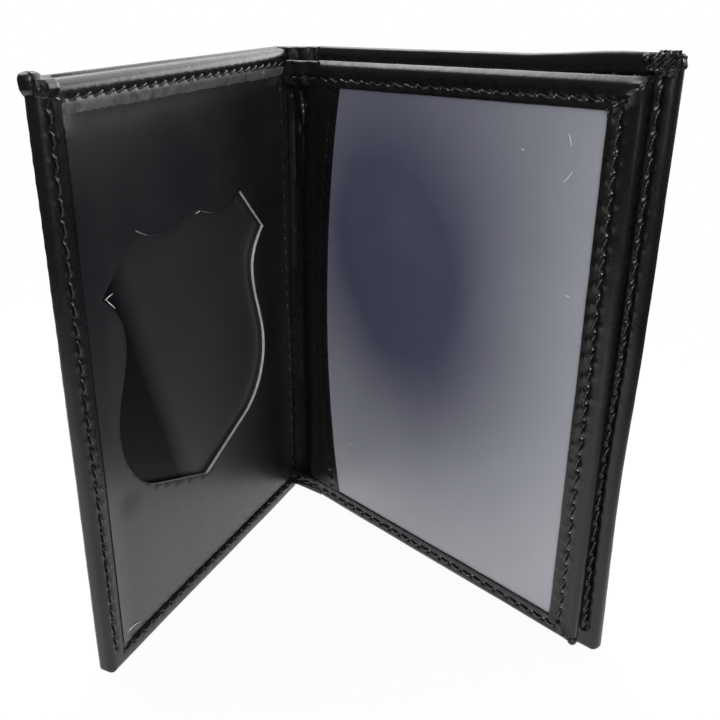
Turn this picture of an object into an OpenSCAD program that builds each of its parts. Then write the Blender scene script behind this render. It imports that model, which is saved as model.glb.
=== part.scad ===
// Folding badge wallet that stands open on its long edge, in millimetres.
// The left cover lies along -Y. The spine runs along +X between two creases.
// The leaf and the right cover both turn about the right crease.
// Every piece of a cover is drawn in that cover's own frame: x runs from the
// middle of the outer leather towards the inside, and the distance from the
// crease runs along -Y.

/* [Size] */
// Height of the wallet, measured along the spine
wallet_h = 108; // [98:1:120]
// Width of a cover, from its crease to its free edge
cover_w = 79.5; // [76:0.5:90]
// Distance between the two creases of the spine
spine_w = 11; // [10:0.5:14]
// How far the leaf and the right cover stand open from the left cover, in degrees
open_angle = 66; // [0:1:90]

/* [Leather and lining] */
// Thickness of the outer leather
skin_t = 1.1; // [0.9:0.05:1.3]
// Thickness of the stiffening board in each cover
board_t = 0.45; // [0.3:0.05:0.6]
// Thickness of the lining over the board
lining_t = 0.2; // [0.15:0.05:0.3]
// Thickness of the thinned leather where an edge is turned in over a panel
fold_t = 0.4; // [0.3:0.05:0.5]
// Thickness of the turned edge seen from the outside
edge_t = 0.9; // [0.7:0.05:1.1]
// Width of the turned edge at the free side of a cover
hem_w = 4.2; // [3.5:0.1:5.5]
// Width of the turned edge along the bottom of a cover
bottom_hem_h = 3.4; // [2.8:0.1:4.5]
// Width of the turned edge along the top of the right cover
top_hem_h = 4.2; // [3.4:0.1:5.5]
// Width of the edge turned in along the top of the left cover, behind its pocket
top_turn_h = 6; // [4:0.5:9]

/* [Badge pocket] */
// Thickness of the dark sheet behind the badge
backing_t = 0.4; // [0.3:0.05:0.6]
// Thickness of the stiff layer under the panel's face
core_t = 0.6; // [0.4:0.05:0.8]
// Thickness of the panel's face leather
panel_t = 0.6; // [0.5:0.05:0.8]
// How far the panel's top edge lies below the top of the cover
panel_drop = 0.3; // [0.2:0.1:5]
// Width of the rolled strip along the mouth of a pocket
roll_h = 5.3; // [3:0.1:6.5]
// Width of the badge cut-out
badge_w = 56; // [44:1:60]
// Height of the badge cut-out, from its lower point to its two upper corners
badge_h = 56.9; // [46:0.1:62]
// Height of the cut-out's lower point above the table
badge_z = 24.6; // [18:0.1:30]
// How far the middle of the cut-out lies beyond the middle of the panel
badge_shift = 1.95; // [0:0.05:3]

/* [Right pocket] */
// Thickness of the right cover's inner panel
pocket_t = 0.5; // [0.4:0.05:0.7]
// Distance of the pocket's mouth from the crease
mouth_u = 13; // [8:0.5:20]

/* [Leaf] */
// Thickness of the clear windows
vinyl_t = 0.3; // [0.2:0.05:0.4]
// Thickness of the sheet between the windows
divider_t = 0.7; // [0.5:0.05:0.9]
// Thickness of the leather folded over the leaf's edges
leaf_fold_t = 0.45; // [0.35:0.05:0.55]
// How far the leaf stops short of the cover's free edge
leaf_inset = 2.3; // [1.5:0.1:4]
// Gap between the leaf's lower edge and the table
leaf_foot = 2.2; // [1.5:0.1:4]
// How far the leaf's top edge lies below the top of the cover
leaf_drop = 3.3; // [2:0.1:6]
// Width of the strip on the leaf's free side
leaf_side_w = 5.7; // [4.5:0.1:7.5]
// Width of the strip on the leaf's top edge
leaf_top_w = 4.3; // [3.5:0.1:6]
// Width of the strip on the leaf's bottom edge
leaf_bottom_w = 3.8; // [3:0.1:5.5]
// Width of the leather at the leaf's spine side, at its two ends
gusset_w = 10.4; // [9:0.1:13]
// How much narrower that leather is at half height, where the window bows out
gusset_bow = 4.2; // [2:0.1:5]

/* [Clearances] */
// Gap between the leather of a cover and the round edge of the spine
crease_gap = 0.1; // [0.08:0.01:0.2]
// Gap between two leaves of leather that lie on each other
leaf_gap = 0.25; // [0.2:0.05:0.4]
// Gap at the back of the badge and ID pockets
pocket_gap = 0.05; // [0.03:0.01:0.1]

/* [Hidden] */
// Thickness of the spine's lining, and how far it stays from each crease
spine_lining_t = 0.3;
spine_lining_inset = 1.2;
// Half the outer leather: the creases run through the middle of its thickness.
skin_half = skin_t / 2;
// The covers start where they clear the flat of the spine at a right angle.
skin_start = skin_half + crease_gap;
// The inner layers start behind the foot of the leaf's gusset.
foot_start = skin_half + spine_lining_t + crease_gap;
foot_end = foot_start + leaf_fold_t;
layer_start = foot_end + crease_gap;

// Layers of a cover, counted from the middle of its outer leather
board_face = skin_half + board_t;
lining_face = board_face + lining_t;
back_fold_t = fold_t / 2;
stack_start = lining_face + pocket_gap + back_fold_t;
backing_face = stack_start + backing_t;
core_face = backing_face + core_t;
panel_face = core_face + panel_t;
pocket_face = stack_start + pocket_t;
left_depth = panel_face + fold_t;
right_depth = pocket_face + fold_t;

// Share of a cover's edge thickness that its rounded corners take
roll_share = 0.38;
// Radius of the covers' corners, seen from the front
corner_r = 1.5;

// Edges inside which the inner layers of a cover lie
inner_w = cover_w - edge_t;
inner_top = wallet_h - edge_t;
panel_top = wallet_h - panel_drop;
// How far a pocket's layers stay inside the round edge of its rolled strip
roll_in = 2 * fold_t;
stack_top = panel_top - roll_in;

// Leaf, counted from the middle of the right cover's outer leather
leaf_t = 2 * leaf_fold_t + 2 * vinyl_t + divider_t;
leaf_back = right_depth + leaf_gap;
leaf_front = leaf_back + leaf_t;
leaf_end = cover_w - leaf_inset;
leaf_top = wallet_h - leaf_drop;
leaf_corner_r = 2.5;
// The windows start this far from the crease, hidden by the gusset.
window_start = 4.5;

// Circle that cuts the bowed edge of the gusset: its chord is the window's height.
bow_chord = leaf_top - leaf_top_w - leaf_foot - leaf_bottom_w;
bow_r = (bow_chord * bow_chord / 4 + gusset_bow * gusset_bow) / (2 * gusset_bow);
bow_mid_z = leaf_foot + leaf_bottom_w + bow_chord / 2;

// The badge cut-out, as shares of its width and height. It is mirrored about its middle.
badge_mid = (layer_start + inner_w) / 2 + badge_shift;
half_w = badge_w / 2;
waist_share = 0.818;
bulge_share = 0.964;
bottom_r_share = 0.55;
bulge_z_share = 0.367;
waist_z_share = 0.684;
point_z_share = 0.833;
peak_share = 0.643;
valley_share = 0.33;
valley_z_share = 0.954;
crown_z_share = 0.991;
// Angle below level at which the round lower side runs into the straight foot
foot_turn = 69.2;

// Points along each curved stretch of the cut-out
curve_steps = 8;
// Sides of the large circle that cuts the gusset's bowed edge
bow_sides = 720;
// Room added to a cutting tool so that it passes the faces it cuts
past = 1;

black_leather = [0.05, 0.05, 0.055];
black_lining = [0.08, 0.08, 0.09];
grey_board = [0.55, 0.55, 0.55];
clear_vinyl = [0.62, 0.66, 0.74];
dark_sheet = [0.12, 0.13, 0.17];

// The left cover's frame starts at the left crease.
module on_left() {
    translate([-spine_w / 2, 0, 0])
        children();
}

// The right cover and the leaf share a frame that is mirrored and turned open.
module on_right() {
    translate([spine_w / 2, 0, 0])
        rotate([0, 0, open_angle])
            mirror([1, 0, 0])
                children();
}

// Flat sheet between two depths, two distances from the crease and two heights
module sheet(x0, x1, u0, u1, z0, z1) {
    translate([x0, -u1, z0])
        cube([x1 - x0, u1 - u0, z1 - z0]);
}

// Stands a flat outline, drawn as distance from the crease and height, on edge
module upright(x0, x1) {
    translate([x1, 0, 0])
        rotate([90, 0, -90])
            linear_extrude(height = x1 - x0)
                children();
}

// Rectangle with its two corners at the free side rounded
module free_side_plate(u0, u1, z0, z1, r) {
    translate([u0, z0])
        square([u1 - u0 - r, z1 - z0]);
    translate([u0, z0 + r])
        square([u1 - u0, z1 - z0 - 2 * r]);
    translate([u1 - r, z0 + r])
        circle(r = r);
    translate([u1 - r, z1 - r])
        circle(r = r);
}

// Rectangle with all corners rounded
module round_plate(w, h, r) {
    translate([r, 0])
        square([w - 2 * r, h]);
    translate([0, r])
        square([w, h - 2 * r]);
    for (a = [r, w - r])
        for (b = [r, h - r])
            translate([a, b])
                circle(r = r);
}

// Block with the rounded outside of a cover whose edges are turned in
module cover_block(depth) {
    thick = skin_half + depth;
    roll_r = thick * roll_share;
    length = cover_w - skin_start;
    intersection() {
        upright(-skin_half, depth)
            free_side_plate(skin_start, cover_w, 0, wallet_h, corner_r);
        translate([-skin_half, -skin_start, 0])
            rotate([90, 0, 0])
                linear_extrude(height = length)
                    round_plate(thick, wallet_h, roll_r);
        translate([-skin_half, -cover_w, 0])
            linear_extrude(height = wallet_h)
                round_plate(thick, cover_w * 2, roll_r);
    }
}

// Outer leather of a cover: one skin with its side and bottom edges turned in,
// and with its top edge turned in as the children say
module cover_skin(panel_depth, depth) {
    intersection() {
        cover_block(depth);
        union() {
            sheet(-skin_half, skin_half, skin_start, cover_w, 0, wallet_h);
            sheet(-skin_half, depth, inner_w, cover_w, 0, wallet_h);
            sheet(panel_depth, depth, cover_w - hem_w, cover_w, 0, wallet_h);
            sheet(-skin_half, depth, layer_start, cover_w, 0, edge_t);
            sheet(panel_depth, depth, layer_start, cover_w, 0, bottom_hem_h);
            children();
        }
    }
}

// Layer that fills the inside of a cover between two depths
module inner_layer(x0, x1, top) {
    sheet(x0, x1, layer_start, inner_w, edge_t, top);
}

// Section of the rolled strip over a pocket's mouth: round at zero, open below
module rolled_strip(face) {
    x0 = stack_start - back_fold_t;
    x1 = face + fold_t;
    r = (x1 - x0) / 2;
    difference() {
        union() {
            translate([x0, -roll_h])
                square([x1 - x0, roll_h - r]);
            translate([x0 + r, -r])
                circle(r = r);
        }
        translate([stack_start, -roll_h - past])
            square([face - stack_start, roll_h + past - roll_in]);
    }
}

// Layer of the badge pocket, up to the inside of the rolled strip
module pocket_layer(x0, x1) {
    inner_layer(x0, x1, stack_top);
}

// Right half of the badge cut-out, from its lower point up to the middle of its top
function rise(share) = badge_h * share;
function bulge_r() = half_w * bottom_r_share;
function bulge_x() = half_w * bulge_share;
function low_side() = [for (i = [0 : curve_steps])
    let (turn = foot_turn * (1 - i / curve_steps))
    [bulge_x() - bulge_r() * (1 - cos(turn)), rise(bulge_z_share) - bulge_r() * sin(turn)]];
function waist_side() = [for (i = [1 : curve_steps])
    let (part = i / curve_steps, waist_x = half_w * waist_share)
    [waist_x + (bulge_x() - waist_x) * (1 + cos(180 * part)) / 2,
     rise(bulge_z_share + (waist_z_share - bulge_z_share) * part)]];
function point_side() = [for (i = [1 : curve_steps / 2])
    let (part = 2 * i / curve_steps)
    [half_w * (waist_share + (1 - waist_share) * part * part),
     rise(waist_z_share + (point_z_share - waist_z_share) * part)]];
function top_side() = [for (i = [0 : curve_steps / 2])
    let (part = 1 - 2 * i / curve_steps)
    [half_w * (valley_share + (peak_share - valley_share) * part),
     rise(valley_z_share + (1 - valley_z_share) * part * part)]];
function crown_side() = [for (i = [1 : curve_steps / 2])
    let (part = 1 - 2 * i / curve_steps)
    [half_w * valley_share * part,
     rise(crown_z_share - (crown_z_share - valley_z_share) * (1 - cos(180 * part)) / 2)]];

module badge_outline() {
    side = concat([[0, 0]], low_side(), waist_side(), point_side(), top_side(), crown_side());
    other_side = [for (i = [len(side) - 2 : -1 : 1]) [-side[i][0], side[i][1]]];
    translate([badge_mid, badge_z])
        polygon(concat(side, other_side));
}

// Layer of the badge panel with the cut-out through it
module badge_layer(x0, x1) {
    difference() {
        pocket_layer(x0, x1);
        upright(x0 - past, x1 + past)
            badge_outline();
    }
}

// Room inside the leaf's folded edges, for its three sheets
module leaf_inside(x0, x1) {
    upright(x0, x1)
        free_side_plate(window_start, leaf_end - leaf_fold_t, leaf_foot + leaf_fold_t,
            leaf_top - leaf_fold_t, leaf_corner_r - leaf_fold_t);
}

// Part of the leaf's folded edge that lies inside a flat outline
module leaf_binding() {
    difference() {
        upright(leaf_back, leaf_front)
            intersection() {
                free_side_plate(gusset_w, leaf_end, leaf_foot, leaf_top, leaf_corner_r);
                children();
            }
        leaf_inside(leaf_back + leaf_fold_t, leaf_front - leaf_fold_t);
    }
}

module left_cover_skin() {
    color(black_leather)
        on_left()
            cover_skin(panel_face, left_depth) {
                sheet(-skin_half, lining_face, layer_start, cover_w, inner_top, wallet_h);
                sheet(board_face, lining_face, layer_start, inner_w, wallet_h - top_turn_h, wallet_h);
            }
}

module left_board() {
    color(grey_board)
        on_left()
            inner_layer(skin_half, board_face, inner_top);
}

module left_lining() {
    color(black_lining)
        on_left()
            inner_layer(board_face, lining_face, wallet_h - top_turn_h);
}

module badge_backing() {
    color(black_lining)
        on_left()
            pocket_layer(stack_start, backing_face);
}

module badge_panel_core() {
    color(grey_board)
        on_left()
            badge_layer(backing_face, core_face);
}

module badge_panel() {
    color(black_leather)
        on_left()
            badge_layer(core_face, panel_face);
}

module badge_panel_binding() {
    length = cover_w - hem_w - layer_start;
    color(black_leather)
        on_left()
            translate([0, -layer_start, panel_top])
                rotate([90, 0, 0])
                    linear_extrude(height = length)
                        rolled_strip(panel_face);
}

// The spine's leather ends in a round edge at each crease.
module spine_skin() {
    color(black_leather)
        linear_extrude(height = wallet_h) {
            translate([-spine_w / 2, -skin_half])
                square([spine_w, skin_t]);
            translate([-spine_w / 2, 0])
                circle(r = skin_half);
            translate([spine_w / 2, 0])
                circle(r = skin_half);
        }
}

module spine_lining() {
    width = spine_w - 2 * spine_lining_inset;
    color(black_lining)
        translate([-width / 2, -skin_half - spine_lining_t, edge_t])
            cube([width, spine_lining_t, wallet_h - 2 * edge_t]);
}

// The gusset's foot lies on the spine and its two flanges clasp the leaf's sheets.
module leaf_gusset() {
    color(black_leather)
        on_right()
            difference() {
                union() {
                    sheet(skin_start, leaf_front, foot_start, foot_end, leaf_foot, leaf_top);
                    sheet(leaf_back, leaf_front, foot_start, gusset_w, leaf_foot, leaf_top);
                }
                sheet(leaf_back + leaf_fold_t, leaf_front - leaf_fold_t, foot_end, gusset_w + past,
                    leaf_foot - past, leaf_top + past);
                upright(leaf_back - past, leaf_front + past)
                    translate([gusset_w - gusset_bow + bow_r, bow_mid_z])
                        circle(r = bow_r, $fn = bow_sides);
            }
}

module leaf_top_binding() {
    color(black_leather)
        on_right()
            leaf_binding()
                polygon([
                    [gusset_w, leaf_top],
                    [leaf_end, leaf_top],
                    [leaf_end - leaf_side_w, leaf_top - leaf_top_w],
                    [gusset_w, leaf_top - leaf_top_w]
                ]);
}

module leaf_side_binding() {
    color(black_leather)
        on_right()
            leaf_binding()
                polygon([
                    [leaf_end, leaf_top],
                    [leaf_end, leaf_foot],
                    [leaf_end - leaf_side_w, leaf_foot + leaf_bottom_w],
                    [leaf_end - leaf_side_w, leaf_top - leaf_top_w]
                ]);
}

module leaf_bottom_binding() {
    color(black_leather)
        on_right()
            leaf_binding()
                polygon([
                    [gusset_w, leaf_foot],
                    [gusset_w, leaf_foot + leaf_bottom_w],
                    [leaf_end - leaf_side_w, leaf_foot + leaf_bottom_w],
                    [leaf_end, leaf_foot]
                ]);
}

module leaf_front_window() {
    color(clear_vinyl)
        on_right()
            leaf_inside(leaf_front - leaf_fold_t - vinyl_t, leaf_front - leaf_fold_t);
}

module leaf_divider() {
    color(dark_sheet)
        on_right()
            leaf_inside(leaf_back + leaf_fold_t + vinyl_t, leaf_front - leaf_fold_t - vinyl_t);
}

module leaf_back_window() {
    color(clear_vinyl)
        on_right()
            leaf_inside(leaf_back + leaf_fold_t, leaf_back + leaf_fold_t + vinyl_t);
}

module right_cover_skin() {
    color(black_leather)
        on_right()
            cover_skin(pocket_face, right_depth) {
                sheet(-skin_half, right_depth, layer_start, cover_w, inner_top, wallet_h);
                sheet(pocket_face, right_depth, layer_start, cover_w, wallet_h - top_hem_h, wallet_h);
            }
}

module right_board() {
    color(grey_board)
        on_right()
            inner_layer(skin_half, board_face, inner_top);
}

module right_lining() {
    color(black_lining)
        on_right()
            inner_layer(board_face, lining_face, inner_top);
}

// The right pocket opens towards the spine.
module right_pocket_panel() {
    color(black_leather)
        on_right()
            sheet(stack_start, pocket_face, mouth_u + roll_in, inner_w, edge_t, inner_top);
}

module right_pocket_binding() {
    height = wallet_h - bottom_hem_h - top_hem_h;
    color(black_leather)
        on_right()
            translate([0, -mouth_u, bottom_hem_h])
                linear_extrude(height = height)
                    rolled_strip(pocket_face);
}

left_cover_skin();
left_board();
left_lining();
badge_backing();
badge_panel_core();
badge_panel();
badge_panel_binding();
spine_skin();
spine_lining();
leaf_gusset();
leaf_top_binding();
leaf_side_binding();
leaf_bottom_binding();
leaf_front_window();
leaf_divider();
leaf_back_window();
right_cover_skin();
right_board();
right_lining();
right_pocket_panel();
right_pocket_binding();
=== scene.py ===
import math
import random

import bmesh
import bpy
from mathutils import Matrix, Vector
from mathutils.kdtree import KDTree


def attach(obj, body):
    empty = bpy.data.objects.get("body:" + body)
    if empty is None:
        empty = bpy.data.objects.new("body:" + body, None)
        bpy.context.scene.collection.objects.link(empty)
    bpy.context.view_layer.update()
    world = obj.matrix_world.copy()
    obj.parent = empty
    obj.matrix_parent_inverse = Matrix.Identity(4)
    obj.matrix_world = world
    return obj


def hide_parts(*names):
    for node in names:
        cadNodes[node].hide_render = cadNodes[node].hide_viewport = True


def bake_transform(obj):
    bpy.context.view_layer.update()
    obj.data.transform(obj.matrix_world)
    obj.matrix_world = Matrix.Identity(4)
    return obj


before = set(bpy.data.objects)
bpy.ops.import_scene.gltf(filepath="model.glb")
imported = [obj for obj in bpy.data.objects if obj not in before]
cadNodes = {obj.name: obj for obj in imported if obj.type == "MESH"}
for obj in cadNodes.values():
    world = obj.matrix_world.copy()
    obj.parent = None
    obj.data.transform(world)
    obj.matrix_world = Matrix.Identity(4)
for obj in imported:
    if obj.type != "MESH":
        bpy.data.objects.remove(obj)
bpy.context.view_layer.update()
scene = bpy.context.scene
print("frame loaded:", len(cadNodes), "nodes")

# Pieces of a cover are drawn in millimetres in that cover's own flat frame:
# x from the middle of the outer leather inwards, y minus the distance u from the crease, z up.
mm = 0.001
openAngle = math.radians(66)
sinAngle, cosAngle = math.sin(openAngle), math.cos(openAngle)
creaseX = 5.5
places = {
    "left": dict(scale=(mm, mm, mm), turn=0.0, x=-creaseX * mm),
    "right": dict(scale=(-mm, mm, mm), turn=openAngle, x=creaseX * mm),
    "spine": dict(scale=(mm, mm, mm), turn=0.0, x=0.0),
}
inward, outward = Vector((1, 0, 0)), Vector((-1, 0, 0))
touch = 0.01      # this near counts as lying on a plane


def near(a, b):
    return abs(a - b) < touch


def runs(along, axis):
    return abs(along["xyz".index(axis)]) > 0.9


def crosses(along, axis):
    return abs(along["xyz".index(axis)]) < 0.1


def held(value):
    return min(1.0, max(0.0, value))


def softShare(value, start, end):
    # 0 at the start, 1 at the end, eased at both
    part = held((value - start) / (end - start))
    return part * part * (3 - 2 * part)


def flat(x, u, z):
    return Vector((x, -u, z))


def line(a, b, step=0.35):
    a, b = Vector(a), Vector(b)
    count = max(2, int((b - a).length / step))
    return [a.lerp(b, i / count) for i in range(count + 1)]


# small tools for object and edit mode

def freeAll():
    if bpy.context.object is not None and bpy.context.object.mode != "OBJECT":
        bpy.ops.object.mode_set(mode="OBJECT")
    bpy.ops.object.select_all(action="DESELECT")


def onlyPick(piece):
    freeAll()
    piece.select_set(True)
    bpy.context.view_layer.objects.active = piece


def nameIt(piece, name):
    piece.name = name
    piece.data.name = name
    return piece


def applyPlace(piece):
    onlyPick(piece)
    bpy.ops.object.transform_apply(location=True, rotation=True, scale=True)


def addBlock(name, low, high):
    freeAll()
    bpy.ops.mesh.primitive_cube_add(size=1)
    block = nameIt(bpy.context.object, name)
    block.scale = [b - a for a, b in zip(low, high)]
    block.location = [(a + b) / 2 for a, b in zip(low, high)]
    applyPlace(block)
    return block


def addSheet(name, low, high, cell):
    # a block that is cut into cells over its width and height
    sheet = addBlock(name, low, high)
    for axis in (1, 2):
        cutEvery(sheet, axis, low[axis], high[axis], cell)
    return sheet


def editing(piece, mode="FACE"):
    onlyPick(piece)
    bpy.ops.object.mode_set(mode="EDIT")
    bpy.ops.mesh.select_mode(type=mode)
    bpy.ops.mesh.select_all(action="DESELECT")
    return bmesh.from_edit_mesh(piece.data)


def editingAll(piece, mode="FACE"):
    editing(piece, mode)
    bpy.ops.mesh.select_all(action="SELECT")


def doneEditing():
    bpy.ops.object.mode_set(mode="OBJECT")


def middleOf(item):
    if isinstance(item, bmesh.types.BMVert):
        return item.co.copy()
    if isinstance(item, bmesh.types.BMEdge):
        return (item.verts[0].co + item.verts[1].co) / 2
    return item.calc_center_median()


def pick(piece, mode, test):
    mesh = editing(piece, mode)
    items = {"VERT": mesh.verts, "EDGE": mesh.edges, "FACE": mesh.faces}[mode]
    for item in items:
        if test(middleOf(item), item):
            item.select_set(True)
    mesh.select_flush_mode()
    bmesh.update_edit_mesh(piece.data)


def cutAt(piece, axis, cuts):
    editing(piece)
    for cut in cuts:
        point, normal = [0.0] * 3, [0.0] * 3
        point[axis], normal[axis] = cut, 1.0
        bpy.ops.mesh.select_all(action="SELECT")
        bpy.ops.mesh.bisect(plane_co=point, plane_no=normal)
    doneEditing()


def cutEvery(piece, axis, low, high, step):
    count = max(1, round((high - low) / step))
    cutAt(piece, axis, [low + (high - low) * i / count for i in range(1, count)])


def pushOut(piece, test, move):
    pick(piece, "FACE", test)
    bpy.ops.mesh.extrude_region_move(TRANSFORM_OT_translate={"value": move})
    doneEditing()


def mergeFlat(piece):
    editingAll(piece)
    bpy.ops.mesh.dissolve_limited(angle_limit=math.radians(0.4))
    doneEditing()


def turnOut(piece):
    editingAll(piece)
    bpy.ops.mesh.normals_make_consistent(inside=False)
    doneEditing()


def applied(piece, kind, **settings):
    onlyPick(piece)
    modifier = piece.modifiers.new(kind.lower(), kind)
    for key, value in settings.items():
        setattr(modifier, key, value)
    bpy.ops.object.modifier_apply(modifier=modifier.name)


def cutAway(piece, cutter):
    applied(piece, "BOOLEAN", operation="DIFFERENCE", object=cutter, solver="EXACT")
    bpy.data.objects.remove(cutter)


def roundEdges(piece, rules, segments=4):
    # rules are (radius, test on the edge's middle and direction); the first that fits counts
    widest = max(radius for radius, _ in rules)
    mesh = bmesh.new()
    mesh.from_mesh(piece.data)
    weight = mesh.edges.layers.float.new("bevel_weight_edge")
    for edge in mesh.edges:
        along = (edge.verts[1].co - edge.verts[0].co).normalized()
        for radius, test in rules:
            if test(middleOf(edge), along):
                edge[weight] = radius / widest
                break
    mesh.to_mesh(piece.data)
    mesh.free()
    applied(piece, "BEVEL", width=widest, segments=segments, limit_method="WEIGHT", loop_slide=True)


def splitFaces(piece):
    applied(piece, "SUBSURF", subdivision_type="SIMPLE", levels=1, render_levels=1)


def refine(piece, test, cuts):
    pick(piece, "FACE", test)
    bpy.ops.mesh.subdivide(number_cuts=cuts)
    doneEditing()


def press(piece, points, move, size, facing=None, falloff="SMOOTH"):
    # pushes the skin at the nearest points, with a soft falloff
    if not points:
        return
    mesh = editing(piece, "VERT")
    mesh.normal_update()
    found = [v for v in mesh.verts if facing is None or v.normal.dot(facing) > 0.35]
    tree = KDTree(len(found))
    for i, vert in enumerate(found):
        tree.insert(vert.co, i)
    tree.balance()
    for point in points:
        _, index, distance = tree.find(point)
        if index is not None and distance < max(size, 1.0):
            found[index].select_set(True)
    bmesh.update_edit_mesh(piece.data)
    bpy.ops.transform.translate(value=move, use_proportional_edit=True,
                                proportional_edit_falloff=falloff, proportional_size=size)
    doneEditing()


# the same slow wave bends all layers of a cover together
def waveTexture(name, size, depth):
    texture = bpy.data.textures.new(name, "CLOUDS")
    texture.noise_scale = size
    texture.noise_depth = depth
    texture.noise_basis = "BLENDER_ORIGINAL"
    return texture


slowWave = waveTexture("slowWave", 34.0, 1)
rippleWave = waveTexture("rippleWave", 7.0, 1)
puckerWave = waveTexture("puckerWave", 2.2, 0)
flexShape = dict(amount=0.34, ripple=0.07, pucker=0.05)


def ruffle(piece, wave, strength, direction="NORMAL"):
    applied(piece, "DISPLACE", texture=wave, texture_coords="LOCAL", direction=direction,
            strength=strength, mid_level=0.5)


def flex(piece, ripple=1.0, pucker=0.0):
    ruffle(piece, slowWave, flexShape["amount"], "X")
    if ripple:
        ruffle(piece, rippleWave, flexShape["ripple"] * ripple)
    if pucker:
        ruffle(piece, puckerWave, flexShape["pucker"] * pucker)


sagging = dict(amount=1.5, fromU=48.0, toU=79.5, fromZ=42.0)
squeezing = dict(amount=0.20, fromU=62.0, toU=79.0, fromZ=98.0, toZ=78.0, depth=3.45, half=0.55)
flaring = dict(outTop=0.90, outFoot=0.28, outFromZ=30.0, outToZ=70.0, outFromU=60.0, outToU=78.0,
               rise=0.80, riseFromU=52.0, riseToU=72.0, riseFromZ=92.0, riseToZ=106.0)


def sag(piece):
    # the right cover's lower free corner hangs a little away from the leaf
    for vert in piece.data.vertices:
        along = held((-vert.co.y - sagging["fromU"]) / (sagging["toU"] - sagging["fromU"]))
        down = held(1 - vert.co.z / sagging["fromZ"])
        vert.co.x -= sagging["amount"] * along ** 2 * down ** 1.5


def squeeze(piece):
    # the left cover is pressed thinner towards its free edge, below the folded corner
    for vert in piece.data.vertices:
        out = softShare(-vert.co.y, squeezing["fromU"], squeezing["toU"])
        down = softShare(vert.co.z, squeezing["fromZ"], squeezing["toZ"])
        back = held((squeezing["depth"] - vert.co.x) / (squeezing["depth"] + squeezing["half"]))
        vert.co.x += squeezing["amount"] * out * down * back


def flare(piece):
    # the right cover spreads a little towards its upper free corner
    for vert in piece.data.vertices:
        u, z = -vert.co.y, vert.co.z
        high = softShare(z, flaring["outFromZ"], flaring["outToZ"])
        out = flaring["outFoot"] + (flaring["outTop"] - flaring["outFoot"]) * high
        vert.co.y -= out * softShare(u, flaring["outFromU"], flaring["outToU"])
        vert.co.z += flaring["rise"] * softShare(u, flaring["riseFromU"], flaring["riseToU"]) * \
            softShare(z, flaring["riseFromZ"], flaring["riseToZ"])


# materials

def newMaterial(name):
    material = bpy.data.materials.new(name)
    material.use_nodes = True
    tree = material.node_tree
    coords = addNode(tree, "TexCoord", {}).outputs["Object"]
    return material, tree, coords, tree.nodes["Principled BSDF"]


def addNode(tree, kind, sources, **settings):
    # sources holds what each input takes: a value, or the output of another node
    node = tree.nodes.new("ShaderNode" + kind)
    for key, value in settings.items():
        setattr(node, key, value)
    feed(tree, node, sources)
    return node


def feed(tree, node, sources):
    for key, value in sources.items():
        if isinstance(value, bpy.types.NodeSocket):
            tree.links.new(value, node.inputs[key])
        else:
            node.inputs[key].default_value = value


def noiseNode(tree, coords, scale, detail=3.0, rough=0.5, stretch=None):
    if stretch:
        coords = addNode(tree, "Mapping", {"Vector": coords, "Scale": stretch}).outputs["Vector"]
    return addNode(tree, "TexNoise", {"Vector": coords, "Scale": scale, "Detail": detail,
                                      "Roughness": rough}).outputs["Fac"]


def cellNode(tree, coords, scale):
    return addNode(tree, "TexVoronoi", {"Vector": coords, "Scale": scale}).outputs["Distance"]


def rampNode(tree, source, stops):
    ramp = addNode(tree, "ValToRGB", {"Fac": source})
    while len(ramp.color_ramp.elements) < len(stops):
        ramp.color_ramp.elements.new(0.5)
    for element, (place, color) in zip(ramp.color_ramp.elements, stops):
        element.position = place
        element.color = (*color, 1)
    return ramp.outputs["Color"]


def rangeNode(tree, source, low, high, toLow, toHigh):
    return addNode(tree, "MapRange", {"Value": source, "From Min": low, "From Max": high,
                                      "To Min": toLow, "To Max": toHigh}).outputs["Result"]


def bumpNode(tree, height, strength, distance, previous=None):
    sources = {"Height": height, "Strength": strength, "Distance": distance}
    if previous:
        sources["Normal"] = previous
    return addNode(tree, "Bump", sources).outputs["Normal"]


def mathNode(tree, operation, a, b):
    return addNode(tree, "Math", {0: a, 1: b}, operation=operation).outputs[0]


def vectorNode(tree, operation, a, b=(0, 0, 0)):
    outcome = "Vector" if operation == "SUBTRACT" else "Value"
    return addNode(tree, "VectorMath", {0: a, 1: b}, operation=operation).outputs[outcome]


def mixNode(tree, share, first, second):
    return addNode(tree, "Mix", {0: share, 6: first, 7: second}, data_type="RGBA").outputs[2]


leatherLook = dict(dark=(0.0018, 0.0018, 0.0020), pale=(0.0058, 0.0059, 0.0062), smudge=55.0,
                   roughLow=0.23, roughHigh=0.34, grain=1500.0, grainBump=0.14, grainDeep=0.00006,
                   pores=4200.0, poreBump=0.08, poreDeep=0.00005)


def leatherMaterial(name, spec=0.5, **changes):
    look = dict(leatherLook, **changes)
    material, tree, coords, shader = newMaterial(name)
    smudge = noiseNode(tree, coords, look["smudge"], 5.0, 0.6)
    fine = noiseNode(tree, coords, look["grain"] * 0.35, 4.0, 0.65)
    pores = noiseNode(tree, coords, look["pores"], 2.0, 0.6)
    grain = bumpNode(tree, cellNode(tree, coords, look["grain"]), look["grainBump"], look["grainDeep"])
    feed(tree, shader, {
        "Base Color": rampNode(tree, smudge, [(0.3, look["dark"]), (0.75, look["pale"])]),
        "Roughness": rangeNode(tree, fine, 0.3, 0.7, look["roughLow"], look["roughHigh"]),
        "Normal": bumpNode(tree, pores, look["poreBump"], look["poreDeep"], grain),
        "Specular IOR Level": spec,
    })
    return material


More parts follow.
